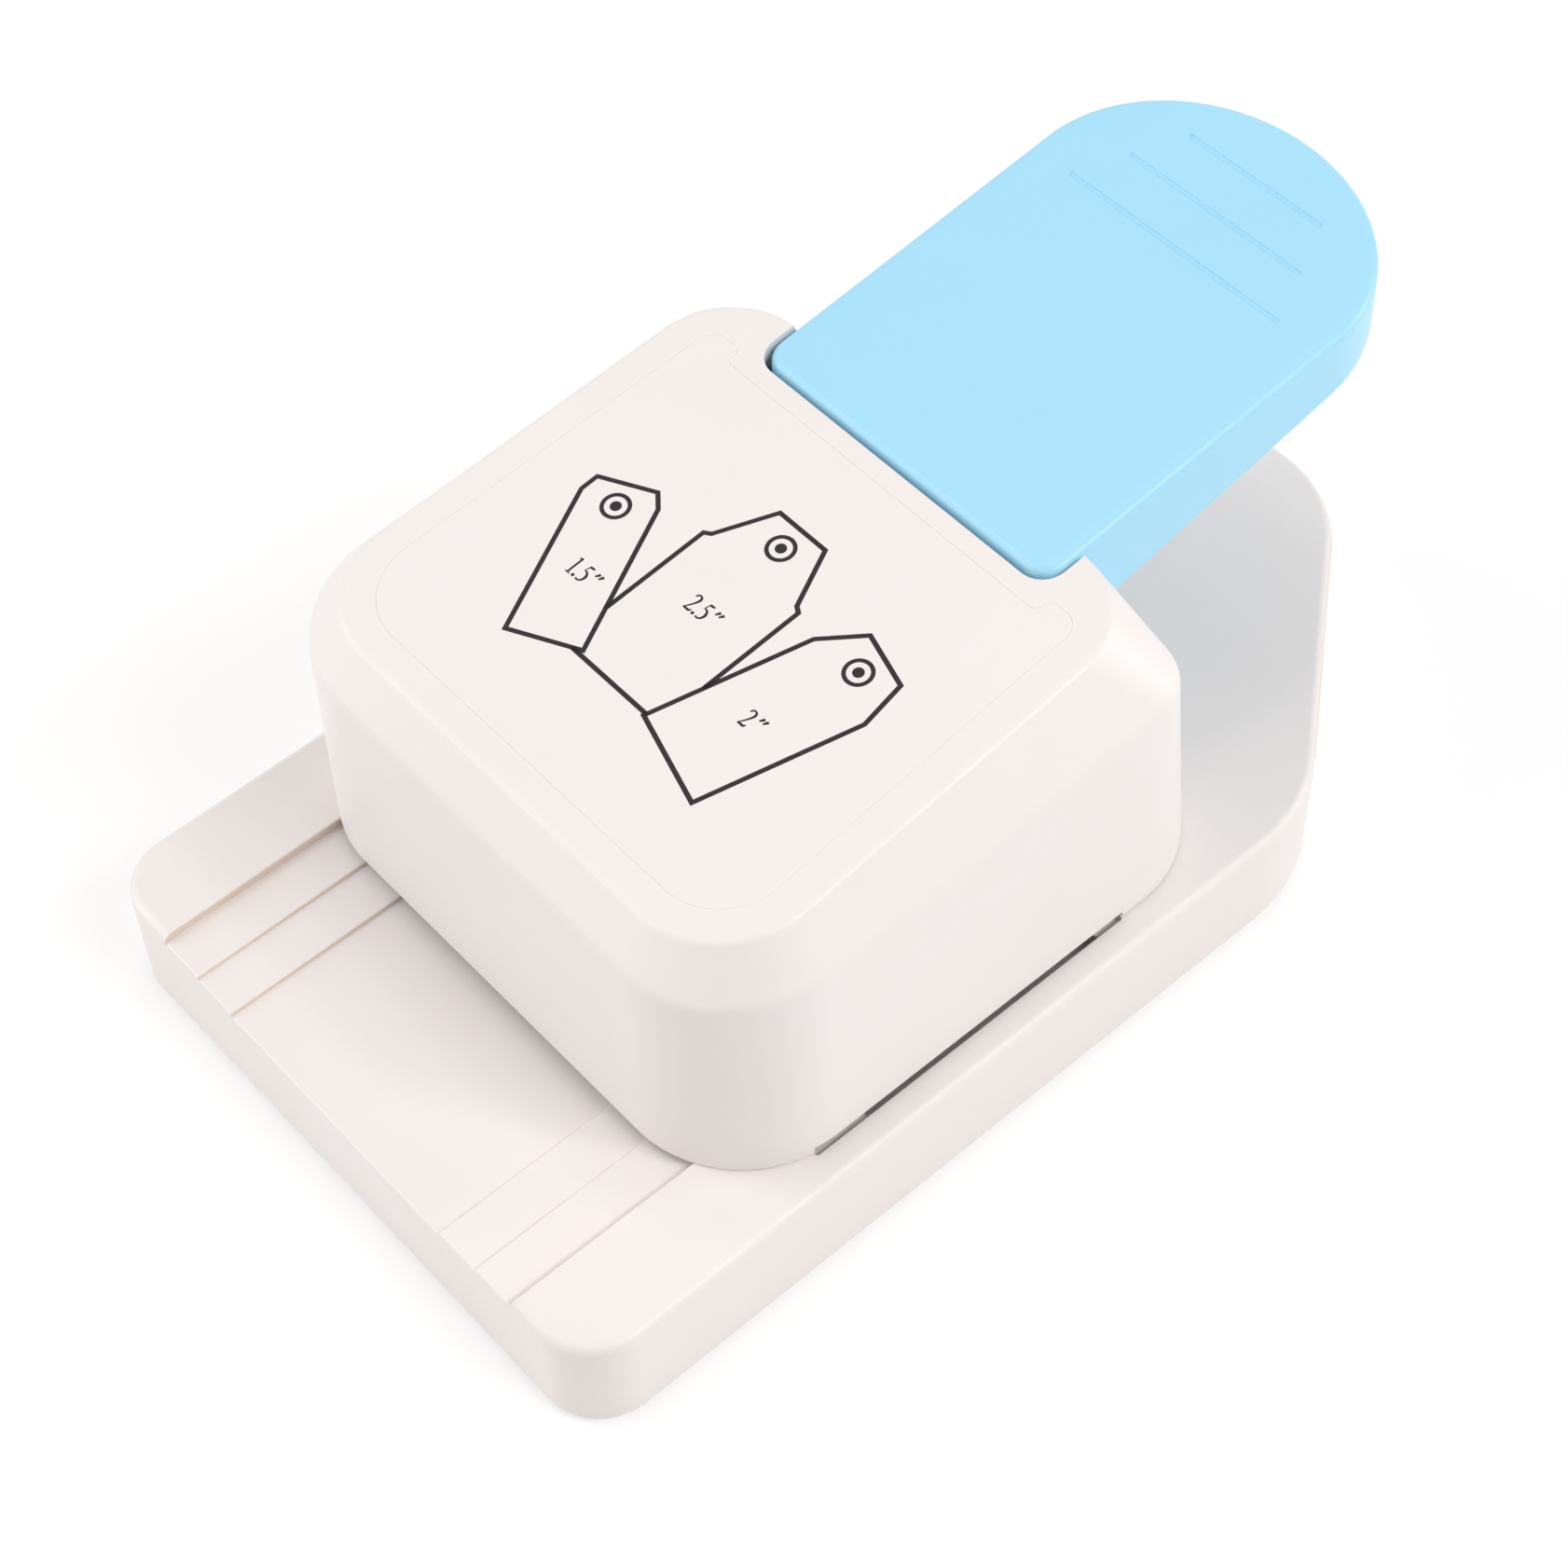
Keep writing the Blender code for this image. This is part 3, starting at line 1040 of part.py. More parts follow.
def make_head(material):
    """Drafted block with a wide bevel, a top that climbs to the rear and a notch for the lever."""
    foot, fold, top = head_rings(0)
    base = ring(foot, flat(HEAD_BOTTOM))
    lid = ring(rounded(top_corners(-HEAD_EDGE_REACH - OVERRUN)), head_top)
    fold_rings = softened(base, fold, top, HEAD_FOLD_REACH, steps=2)
    top_rings = softened(fold, top, lid, HEAD_EDGE_REACH, steps=3)
    head = loft("head_cover", [base, *fold_rings, *top_rings, lid], material)
    cut(head, head_cavity())
    notch = [(-NOTCH_HALF, NOTCH_FRONT, LEVER_CORNER_RADIUS), (NOTCH_HALF, NOTCH_FRONT, LEVER_CORNER_RADIUS),
             (NOTCH_HALF, HEAD_REAR + OVERRUN, 0), (-NOTCH_HALF, HEAD_REAR + OVERRUN, 0)]
    high = lever_top(HEAD_REAR) + OVERRUN
    cut(head, prism("lever_notch", notch, notch_floor(), high, steps=FINE_STEPS))
    slit = box_corners(-BASE_HALF, BASE_HALF, SLIT_FRONT, SLIT_REAR)
    cut(head, prism("side_slits", slit, HEAD_BOTTOM - OVERRUN, HEAD_BOTTOM + SLIT_HEIGHT - SEAT))
    depth = PANEL_THICKNESS + SEAT
    cut(head, prism("panel_recess", offset(panel_corners(), SEAT), lambda y: head_top(y) - depth,
                    lambda y: head_top(y) + OVERRUN, steps=FINE_STEPS))
    for name, x, y in screw_places():
        cut(head, rod(f"head_screw_hole_{name}", SCREW_RADIUS + SEAT, (x, y, FRAME_TOP - OVERRUN),
                      (x, y, SCREW_TIP + SEAT)))
    smooth(head)


def make_panel(material):
    """Thin inlay, flush with the head's top."""
    panel = prism("label_panel", panel_corners(), lambda y: head_top(y) - PANEL_THICKNESS, head_top,
                  material, FINE_STEPS)
    smooth(panel)


def make_screws(steel):
    """Screws that rise from the base's counterbores into the cover's bosses."""
    for name, x, y in screw_places():
        tip = SCREW_TIP - SCREW_HEAD_BOTTOM
        edge = SCREW_HEAD_HEIGHT * EDGE_SHARE
        profile = [(0, SCREW_HEAD_RADIUS - edge), (edge, SCREW_HEAD_RADIUS),
                   (SCREW_HEAD_HEIGHT, SCREW_HEAD_RADIUS), (SCREW_HEAD_HEIGHT, SCREW_RADIUS),
                   (tip - SCREW_RADIUS, SCREW_RADIUS), (tip, SCREW_RADIUS * EDGE_SHARE)]
        screw = turned(f"stack_screw_{name}", profile, (x, y, SCREW_HEAD_BOTTOM), (0, 0, 1), steel,
                       SCREW_STEPS)
        smooth(screw)


def make_chad_cover(material):
    """Cover of the waste bay, with a rounded rear edge that turns on two moulded trunnions."""
    half = BAY_HALF - CHAD_COVER_GAP
    front = BAY_FRONT + CHAD_COVER_GAP
    radius = CHAD_COVER_THICKNESS / 2
    axis_z = BASE_BOTTOM + radius
    corners = [(-half, front, CHAD_COVER_CORNER_RADIUS), (half, front, CHAD_COVER_CORNER_RADIUS),
               (half, TRUNNION_Y, 0), (-half, TRUNNION_Y, 0)]
    cover = prism("chad_cover", corners, BASE_BOTTOM, BASE_BOTTOM + CHAD_COVER_THICKNESS, material,
                  FINE_STEPS)
    reach = half + TRUNNION_LENGTH
    join(cover, rod("trunnions", radius * TRUNNION_SHARE, (-reach, TRUNNION_Y, axis_z),
                    (reach, TRUNNION_Y, axis_z)))
    place_origin(cover, (0, TRUNNION_Y, axis_z))
    smooth(cover)


def group(name, place, pieces):
    """An empty on a moving body's axis that carries its pieces."""
    carrier = bpy.data.objects.new(name, None)
    bpy.context.scene.collection.objects.link(carrier)
    carrier.location = place
    for piece in pieces:
        piece.parent = carrier
        piece.location = piece.location - Vector(place)


def main():
    clear_scene()
    white = finish("warm_white_plastic", (0.86, 0.81, 0.79), 0.35)
    film = finish("label_film", (0.89, 0.86, 0.85), 0.3)
    blue = finish("light_blue_plastic", (0.42, 0.79, 0.99), 0.32)
    grey = finish("grey_nylon", (0.11, 0.11, 0.12), 0.5)
    rubber = finish("rubber", (0.03, 0.03, 0.03), 0.8)
    cast = finish("die_cast_zinc", (0.45, 0.45, 0.46), 0.45, 1.0)
    steel = finish("steel", (0.55, 0.55, 0.57), 0.25, 1.0)
    make_base(white)
    make_feet(rubber)
    make_plates(steel, grey)
    make_frame(grey)
    ram = make_ram(cast)
    punches = [*make_corner_punches(steel), make_hole_punch(steel)]
    group("ram_axis", (0, NOSE_Y, RAM_BOTTOM), [ram, *punches])
    make_posts_and_springs(steel, steel)
    make_lever(blue)
    make_hinge(steel)
    make_head(white)
    make_panel(film)
    make_screws(steel)
    make_chad_cover(white)


main()
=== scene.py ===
"""Looks of the label punch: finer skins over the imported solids, their finishes, the light and the camera.

Metres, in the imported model's frame: +Z up, front facing -Y. Each finer skin takes its hollows from the
solid that it replaces, and its main places from that solid's box.
"""

import json
import math

import bmesh
import bpy
from mathutils import Matrix, Vector


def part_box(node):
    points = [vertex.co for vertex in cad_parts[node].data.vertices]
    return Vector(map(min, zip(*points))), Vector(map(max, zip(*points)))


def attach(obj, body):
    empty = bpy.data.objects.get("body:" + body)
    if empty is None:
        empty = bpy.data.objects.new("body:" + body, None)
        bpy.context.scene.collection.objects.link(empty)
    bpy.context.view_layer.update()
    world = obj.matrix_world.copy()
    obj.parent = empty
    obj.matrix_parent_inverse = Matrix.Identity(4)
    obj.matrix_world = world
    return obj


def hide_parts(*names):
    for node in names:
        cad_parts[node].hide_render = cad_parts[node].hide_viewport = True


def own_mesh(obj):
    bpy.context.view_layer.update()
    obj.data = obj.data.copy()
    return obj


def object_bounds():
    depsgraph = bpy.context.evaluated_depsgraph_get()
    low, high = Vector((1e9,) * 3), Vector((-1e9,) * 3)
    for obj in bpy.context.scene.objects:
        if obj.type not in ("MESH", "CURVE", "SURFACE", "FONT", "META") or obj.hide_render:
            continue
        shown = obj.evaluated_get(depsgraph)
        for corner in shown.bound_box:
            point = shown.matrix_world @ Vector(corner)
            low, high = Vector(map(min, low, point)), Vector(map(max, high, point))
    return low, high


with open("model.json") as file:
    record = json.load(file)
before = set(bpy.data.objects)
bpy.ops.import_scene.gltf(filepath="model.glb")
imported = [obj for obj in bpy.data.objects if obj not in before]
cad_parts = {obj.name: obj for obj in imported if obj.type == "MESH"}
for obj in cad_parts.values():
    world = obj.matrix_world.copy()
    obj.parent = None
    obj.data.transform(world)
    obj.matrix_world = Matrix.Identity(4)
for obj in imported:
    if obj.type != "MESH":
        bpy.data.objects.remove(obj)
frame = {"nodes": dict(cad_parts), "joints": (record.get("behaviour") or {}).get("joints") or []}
CAD_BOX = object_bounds()

# Fineness of curves
CORNER_STEPS = 20
EDGE_STEPS = 8
SMALL_STEPS = 5
WALL_STEPS = 10
CIRCLE_STEPS = 64
SHARP_ANGLE = math.radians(28)

# Small sizes that every skin shares
OVERRUN = 0.002
SKIN = 0.001
EDGE = 0.0003
LEAST_RADIUS = EDGE / SMALL_STEPS
CLEAR = 0.00001
WELD_REACH = CLEAR / 20

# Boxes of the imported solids
BASE_LOW, BASE_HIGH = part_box("base_shell")
HEAD_LOW, HEAD_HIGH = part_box("head_cover")
LEVER_LOW, LEVER_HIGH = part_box("lever")
PANEL_LOW, PANEL_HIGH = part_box("label_panel")
PLATE_LOW, PLATE_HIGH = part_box("die_plate")
COVER_LOW, COVER_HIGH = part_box("chad_cover")

# Base
BASE_FRONT_RADIUS = 0.0076
BASE_TAPER_LENGTH = 0.0389
BASE_TAIL_WIDTH = 0.0236
BASE_SHOULDER_RADIUS = 0.022
BASE_TAIL_RADIUS = 0.018
BASE_EDGE_RADIUS = 0.0012
CHANNEL_WIDTHS = (0.0635, 0.0508, 0.0381)
CHANNEL_DEPTHS = (0.0012, 0.00165, 0.00215)
CHANNEL_CREST = 0.00025
CHANNEL_ROOT = 0.00012
CHANNEL_WALL_TILT = 0.6
RECESS_DEPTH = 0.00445
RECESS_MARGIN = 0.0003
WELL_REACH = 0.0001
WELL_STEP = 0.001
WELL_DEPTH = 0.00415

# Head cover
HEAD_CORNER_RADIUS = 0.0155
HEAD_DRAFT = 0.0004
HEAD_FRONT_DRAFT = 0.00015
HEAD_REAR_LEAN = 0.0089
HEAD_TOP_SLOPE = 0.113
HEAD_FOLD_SLOPE = 0.067
HEAD_BEVEL_HEIGHT = 0.0059
HEAD_BEVEL_FRONT = 0.0038
HEAD_BEVEL_SIDE = 0.0045
HEAD_BEVEL_REAR = 0.0025
HEAD_FOLD_REAR_RADIUS = 0.006
HEAD_TOP_TAPER = 0.0015
HEAD_TOP_CORNER_RADIUS = 0.0116
HEAD_TOP_REAR_RADIUS = 0.0111
HEAD_EDGE_REACH = 0.0006
HEAD_FOLD_REACH = 0.0008
HEAD_REAR_GAP = 0.0003
HEAD_FRONT_GAP = 0.00005
NOTCH_LENGTH = 0.0176
NOTCH_GAP = 0.00045
NOTCH_FLOOR = 0.0343
SLIT_FRONT = -0.0386
SLIT_REAR = 0.0083
SLIT_HEIGHT = 0.0012
PANEL_NOTCH_MARGIN = 0.0026
PANEL_CORNER_RADIUS = 0.0082
PANEL_EAR_LENGTH = 0.0022
PANEL_EAR_MARGIN = 0.0016
PANEL_EAR_RADIUS = 0.0009
PANEL_DEPTH = 0.0004
PANEL_GAP = 0.000012
PANEL_EDGE = 0.00005

# Lever
LEVER_FRONT_GAP = 0.0007
LEVER_STRAIGHT = 0.0451
LEVER_TAIL_LENGTH = 0.0189
LEVER_SLOPE = 0.1283
LEVER_CORNER_RADIUS = 0.0032
LEVER_EDGE_REACH = 0.0012
LEVER_BROW_REACH = 0.0016
LEVER_DRAFT = 0.00015
SKIRT_DEPTH = 0.0128
SKIRT_SLOPE = 0.215
GRIP_COUNT = 3
GRIP_PITCH = 0.00665
GRIP_LENGTH = 0.033
GRIP_SHORTENING = 0.0061
GRIP_WIDTH = 0.0007
GRIP_DEPTH = 0.00024
GRIP_EASE = 0.00012
GRIP_OFFSET = 0.0001
GRIP_END_ROUND = 0.8
GRIP_TAIL_MARGIN = 0.0085

# Printed size diagram: label outlines at a small scale, fanned over the panel
PRINT_SCALE = 0.246
PRINT_LINE = 0.00058
PRINT_PROUD = 0.000012
TAG_END_WIDTH = 0.0074
TAG_CUT_SLOPE = 0.467
TAG_SIDE_LENGTH = 0.0199
TAG_JOG = (0.0008, 0.0005)
EYELET_SETBACK = 0.00317
EYELET_RADIUS = 0.00158
EYELET_LINE = 0.0005
EYELET_DOT_RADIUS = 0.00068
TAG_ANGLES = (25.5, -16.7, 0)
TAG_ENDS = ((-0.01984, -0.01228), (0.01826, -0.00851), (-0.00084, -0.00322))
FIGURE_PLACES = ((-0.01387, -0.02345), (0.014, -0.0235), (-0.00065, -0.0177))
FIGURE_TEXTS = ('1.5"', '2"', '2.5"')
PARALLEL = 1e-12

# Signs of the diagram as pen strokes through (x, y, half width) nodes, for a height of 1
FIGURE_HEIGHT = 0.0024
FIGURE_GAP = 0.09
FIGURE_STROKES = {
    "1": [[(0, 0.9, 0.03), (0.1, 0.95, 0.045), (0.16, 1, 0.03)],
          [(0.15, 1, 0.055), (0.15, 0, 0.055)],
          [(0, 0.02, 0.03), (0.3, 0.02, 0.03)]],
    "2": [[(0.04, 0.79, 0.04), (0.1, 0.92, 0.05), (0.22, 0.96, 0.045), (0.34, 0.89, 0.06),
           (0.37, 0.74, 0.065), (0.29, 0.5, 0.05), (0.16, 0.25, 0.04), (0.04, 0.05, 0.03)],
          [(0.01, 0.05, 0.045), (0.2, 0.055, 0.06), (0.36, 0.06, 0.06), (0.44, 0.17, 0.03)]],
    "5": [[(0.11, 0.93, 0.06), (0.28, 0.94, 0.06), (0.4, 0.97, 0.035)],
          [(0.13, 0.95, 0.03), (0.06, 0.62, 0.03)],
          [(0.06, 0.62, 0.03), (0.2, 0.62, 0.05), (0.33, 0.5, 0.065), (0.37, 0.32, 0.07),
           (0.31, 0.13, 0.055), (0.18, 0.04, 0.045), (0.04, 0.07, 0.055)]],
    ".": [[(0, 0.08, 0.06), (0.08, 0.08, 0.09), (0.16, 0.08, 0.06)]],
    '"': [[(0.17, 0.72, 0.045), (0.31, 0.96, 0.085)], [(0.4, 0.72, 0.045), (0.54, 0.96, 0.085)]],
}

# Feet, screws and waste cover
CORNERS = ("front_left", "front_right", "rear_left", "rear_right")
FOOT_SOLE_DIP = 0.00025
FOOT_DISH_SHARES = (0.1, 0.55, 0.7)
SCREW_RADIUS = 0.0013
SCREW_HEAD_HEIGHT = 0.0018
SCREW_DOME = 0.0005
SCREW_DOME_PROFILE = ((0, 0.35), (0.2, 0.7), (1, 0.96))
SCREW_TIP_SHARE = 0.25
DRIVE_LENGTH = 0.0032
DRIVE_WIDTH = 0.0007
DRIVE_DEPTH = 0.0011
THREAD_PITCH = 0.0008
THREAD_DEPTH = 0.00018
THREAD_START = 0.3
COVER_CORNER_RADIUS = 0.002
COVER_EDGE = 0.0003
TRUNNION_RADIUS = 0.00095
TRUNNION_LENGTH = 0.0016

# Return springs
SPRING_WIRE = 0.0004
SPRING_TURNS = 7
SPRING_STEPS = 36
SPRING_ROUND = 10

# Finishes: colours with the tints that they drift to, ranges of roughness, and grain in metres
BASE_WHITE = ((0.86, 0.81, 0.79), (0.875, 0.83, 0.815))
HEAD_WHITE = ((0.866, 0.822, 0.806), (0.88, 0.84, 0.825))
FILM_WHITE = ((0.872, 0.832, 0.818), (0.882, 0.845, 0.832))
# Painted shade: a darker, warmer colour for the channel's step walls, standing in for the shade and warm
# bounced light in their corners
WALL_PAINTED_SHADE = ((0.79, 0.67, 0.57), (0.81, 0.7, 0.61))
LEVER_BLUE = ((0.378, 0.735, 0.94), (0.388, 0.75, 0.95))
NYLON_GREY = ((0.11, 0.11, 0.12), (0.13, 0.13, 0.14))
STEEL_GREY = (0.55, 0.55, 0.57)
OILED_STEEL = (0.16, 0.14, 0.13)
ZINC_GREY = (0.45, 0.45, 0.46)
RUBBER_BLACK = (0.03, 0.03, 0.03)
INK_BLACK = (0.02, 0.015, 0.017)
SATIN_ROUGHNESS = (0.36, 0.46)
FILM_ROUGHNESS = (0.3, 0.36)
LEVER_ROUGHNESS = (0.31, 0.37)
NYLON_ROUGHNESS = (0.5, 0.65)
STEEL_ROUGHNESS = (0.24, 0.42)
ZINC_ROUGHNESS = (0.42, 0.62)
RUBBER_ROUGHNESS = (0.7, 0.9)
INK_ROUGHNESS = (0.4, 0.55)
FINE_GRAIN = 0.00022
FILM_GRAIN = 0.0003
NYLON_GRAIN = 0.0004
SCRATCH_GRAIN = 0.00025
GROUND_ALONG_Y = (1, 0.02, 1)
GROUND_ALONG_X = (0.02, 1, 1)
NOISE_ROUGHNESS = 0.55
NOISE_LOW = 0.3
NOISE_HIGH = 0.7

# Floor, world and lamps
FLOOR_HALF = 4.0
FLOOR_COLOUR = (0.88, 0.88, 0.88, 1)
FLOOR_SEEN_COLOUR = (0.5, 0.5, 0.5, 1)
FLOOR_GLOW = 0.55
WORLD_STRENGTH = 0.47
WORLD_COLOUR = (1.0, 0.972, 0.952, 1)
WORLD_SEEN_COLOUR = (1, 1, 1, 1)
WARM = (1, 0.97, 0.92)
LAMP_DISTANCE = 1.2
LAMPS = (  # name, azimuth and elevation in degrees, side in metres, power in watts, colour if not white
    ("key", -44, 21, 0.9, 5.6),
    ("left", -57, 58, 0.3, 1.5),
    ("side", 100, 50, 0.4, 3.3),
    ("edge", 116, 45, 0.12, 1.7),
    ("rim", 147, 21, 0.4, 2.7),
    ("top", 215, 76, 0.15, 0.6, WARM),
)

# Places that follow from the boxes
BASE_HALF = BASE_HIGH.x
BASE_TOP = BASE_HIGH.z
HEAD_HALF = HEAD_HIGH.x
HEAD_FRONT = HEAD_LOW.y
HEAD_REAR = HEAD_HIGH.y
NOTCH_FRONT = HEAD_REAR - NOTCH_LENGTH
LEVER_FRONT = NOTCH_FRONT + LEVER_FRONT_GAP
LEVER_HALF = LEVER_HIGH.x - LEVER_DRAFT
LEVER_TAIL_Y = LEVER_FRONT + LEVER_STRAIGHT
NOTCH_HALF = LEVER_HALF + NOTCH_GAP

# Camera and picture
CAMERA_PLACE = (0.185264, -0.163342, 0.335121)
CAMERA_FORWARD = (-0.463451, 0.389177, -0.796087)
CAMERA_RIGHT = (0.663127, 0.748233, -0.020264)
CAMERA_LENS = 77.8605
CAMERA_CLIP = (0.01, 20)
SENSOR = 36.0


def head_top(y):
    """Height of the head's top plane, which the label panel shares."""
    return PANEL_HIGH.z + HEAD_TOP_SLOPE * (y - PANEL_HIGH.y)


def head_fold(y):
    """Height of the fold under the head's bevel."""
    front = HEAD_FRONT + HEAD_FRONT_DRAFT + HEAD_BEVEL_FRONT
    return head_top(front) - HEAD_BEVEL_HEIGHT + HEAD_FOLD_SLOPE * (y - HEAD_FRONT)


def head_foot(y):
    """Height of the head's lower edge: tight on the base in front, a hair's gap behind the slits."""
    share = min(max((y - SLIT_FRONT) / (SLIT_REAR - SLIT_FRONT), 0), 1)
    return BASE_TOP + HEAD_FRONT_GAP + (HEAD_REAR_GAP - HEAD_FRONT_GAP) * share


def lever_top(y):
    """Height of the lever's top plane."""
    return head_top(LEVER_FRONT) + LEVER_SLOPE * (y - LEVER_FRONT)


def skirt_bottom(y):
    """Height of the lever's lower edge."""
    return lever_top(LEVER_FRONT) - SKIRT_DEPTH + SKIRT_SLOPE * (y - LEVER_FRONT)


def level(height, shift=0.0):
    """A height function from a height or from another height function, shifted."""
    if callable(height):
        return lambda y: height(y) + shift
    return lambda y: height + shift


# Outlines

def offset(corners, distance):
    """An outline of (x, y, radius) corners grown by a distance, with its round corners following."""
    grown = []
    count = len(corners)
    for index, (x, y, radius) in enumerate(corners):
        before = (Vector((x, y)) - Vector(corners[index - 1][:2])).normalized()
        after = (Vector(corners[(index + 1) % count][:2]) - Vector((x, y))).normalized()
        out_before = Vector((before.y, -before.x))
        out_after = Vector((after.y, -after.x))
        reach = distance / (1 + out_before.dot(out_after))
        place = Vector((x, y)) + (out_before + out_after) * reach
        if radius > 0:
            turn = 1 if before.cross(after) > 0 else -1
            radius = max(radius + distance * turn, LEAST_RADIUS)
        grown.append((place.x, place.y, radius))
    return grown


def rounded(corners, steps=CORNER_STEPS):
    """Points of an outline whose corners are arcs; a corner without a radius stays a point."""
    points = []
    count = len(corners)
    for index, (x, y, radius) in enumerate(corners):
        here = Vector((x, y))
        if radius <= 0:
            points.append(here)
            continue
        before = (here - Vector(corners[index - 1][:2])).normalized()
        after = (Vector(corners[(index + 1) % count][:2]) - here).normalized()
        turn = math.atan2(before.cross(after), before.dot(after))
        start = here - before * radius * math.tan(abs(turn) / 2)
        centre = start + Vector((-before.y, before.x)) * math.copysign(radius, turn)
        for step in range(steps + 1):
            spoke = start - centre
            spoke.rotate(Matrix.Rotation(turn * step / steps, 2))
            points.append(centre + spoke)
    return points


def box_corners(x_low, x_high, y_low, y_high, radius=0.0):
    """A rectangle whose corners share a radius."""
    places = ((x_low, y_low), (x_high, y_low), (x_high, y_high), (x_low, y_high))
    return [(x, y, radius) for x, y in places]


def mirrored(corners):
    """The outline on the other side of the middle plane."""
    return [(-x, y, radius) for x, y, radius in reversed(corners)]


def ring(points, height):
    """An outline lifted to a height function of y."""
    return [Vector((point[0], point[1], height(point[1]))) for point in points]


def full_turn(steps):
    """Angles that divide a full turn evenly."""
    return [math.tau * step / steps for step in range(steps)]


def quarter(steps=SMALL_STEPS):
    """(inset, drop) shares of a quarter round, from the wall up to the flat."""
    angles = [math.pi / 2 * step / steps for step in range(steps + 1)]
    return [(1 - math.cos(angle), 1 - math.sin(angle)) for angle in angles]


def softened(lower, corner, upper, reach, steps=EDGE_STEPS, upper_reach=None):
    """Rings that round the edge at a ring, between its neighbours, over a reach on either side."""
    upper_reach = upper_reach or reach
    rings = []
    for step in range(steps + 1):
        share = step / steps
        made = []
        for low, edge, high in zip(lower, corner, upper):
            start = edge + (low - edge).normalized() * reach
            end = edge + (high - edge).normalized() * upper_reach
            made.append(start * (1 - share) ** 2 + edge * 2 * share * (1 - share) + end * share ** 2)
        rings.append(made)
    return rings


def eased_rings(plan, low, high, foot_edge, brim_edge, brim_steps=SMALL_STEPS):
    """Rings of an upright solid between two heights, with a quarter round at both ends."""
    rings = []
    for inset, drop in quarter():
        points = rounded(offset(plan, -foot_edge * drop))
        rings.append(ring(points, level(low + foot_edge * inset)))
    for inset, drop in quarter(brim_steps):
        points = rounded(offset(plan, -brim_edge * inset))
        rings.append(ring(points, level(high - brim_edge * drop)))
    return rings


def between(lower, upper, steps=WALL_STEPS):
    """Rings that divide a wall evenly, without its two ends."""
    return [[low.lerp(high, step / steps) for low, high in zip(lower, upper)] for step in range(1, steps)]


# Solids

def add_object(name, build):
    """A new object from a function that fills a bmesh."""
    builder = bmesh.new()
    build(builder)
    bmesh.ops.recalc_face_normals(builder, faces=builder.faces)
    mesh = bpy.data.meshes.new(name)
    builder.to_mesh(mesh)
    builder.free()
    made = bpy.data.objects.new(name, mesh)
    bpy.context.scene.collection.objects.link(made)
    return made


def add_loft(builder, rings):
    """Adds a closed solid through rings of equal point counts."""
    rows = [[builder.verts.new(point) for point in row] for row in rings]
    count = len(rows[0])
    for below, above in zip(rows, rows[1:]):
        for index in range(count):
            following = (index + 1) % count
            builder.faces.new((below[index], below[following], above[following], above[index]))
    builder.faces.new(list(reversed(rows[0])))
    builder.faces.new(rows[-1])


def loft(name, rings):
    return add_object(name, lambda builder: add_loft(builder, rings))


def prism(name, corners, low, high, steps=CORNER_STEPS):
    """An upright solid on an outline; low and high are heights or height functions."""
    points = rounded(corners, steps)
    return loft(name, [ring(points, level(low)), ring(points, level(high))])


def turned(name, profile, start, direction, steps=CIRCLE_STEPS):
    """A solid of revolution; the profile holds (distance along the axis, radius) pairs."""
    axis = Vector(direction).normalized()
    across = axis.orthogonal().normalized()
    other = axis.cross(across)
    spokes = [across * math.cos(angle) + other * math.sin(angle) for angle in full_turn(steps)]
    return loft(name, [[Vector(start) + axis * along + spoke * radius for spoke in spokes]
                       for along, radius in profile])


def rod(name, radius, start, end, steps=CIRCLE_STEPS):
    span = Vector(end) - Vector(start)
    return turned(name, [(0, radius), (span.length, radius)], start, span, steps)


def weld(mesh):
    """Joins corners that lie on each other, so that a closed shape has no open seams.

    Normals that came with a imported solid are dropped, because they don't fit its carved faces.
    """
    imported = mesh.attributes.get("custom_normal")
    if imported:
        mesh.attributes.remove(imported)
    builder = bmesh.new()
    builder.from_mesh(mesh)
    bmesh.ops.remove_doubles(builder, verts=builder.verts, dist=WELD_REACH)
    bmesh.ops.dissolve_degenerate(builder, edges=builder.edges, dist=WELD_REACH)
    builder.to_mesh(mesh)
    builder.free()


def bake(piece):
    """Turns a piece's modifiers into plain mesh."""
    graph = bpy.context.evaluated_depsgraph_get()
    mesh = bpy.data.meshes.new_from_object(piece.evaluated_get(graph))
    piece.modifiers.clear()
    piece.data = mesh
    weld(mesh)


def carve(piece, operation, tools):
    """Cuts or joins solids into a piece, and drops them."""
    for tool in tools:
        step = piece.modifiers.new(tool.name, "BOOLEAN")
        step.operation = operation
        step.object = tool
        step.solver = "MANIFOLD"
    bake(piece)
    for tool in tools:
        bpy.data.objects.remove(tool)


def solid_of(node):
    """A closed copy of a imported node, whose corners the import had split."""
    packed = frame["nodes"][node]
    made = bpy.data.objects.new(f"{node}_solid", packed.data.copy())
    made.data.transform(packed.matrix_world)
    bpy.context.scene.collection.objects.link(made)
    weld(made.data)
    return made


def hollows(node, core):
    """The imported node's own hollows as a solid, within a core that stays inside its skin."""
    carve(core, "DIFFERENCE", [solid_of(node)])
    return core


def dress(piece, finish, body, *nodes, slot=None):
    """Smooth shading with true edges, a finish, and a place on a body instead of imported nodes."""
    piece.data.materials.clear()
    piece.data.materials.append(finish)
    piece.data.shade_smooth()
    piece.data.set_sharp_from_angle(angle=SHARP_ANGLE)
    normals = piece.modifiers.new("even_normals", "WEIGHTED_NORMAL")
    normals.keep_sharp = True
    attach(piece, body)
    if nodes:
        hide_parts(*nodes)
    return piece


# Finishes

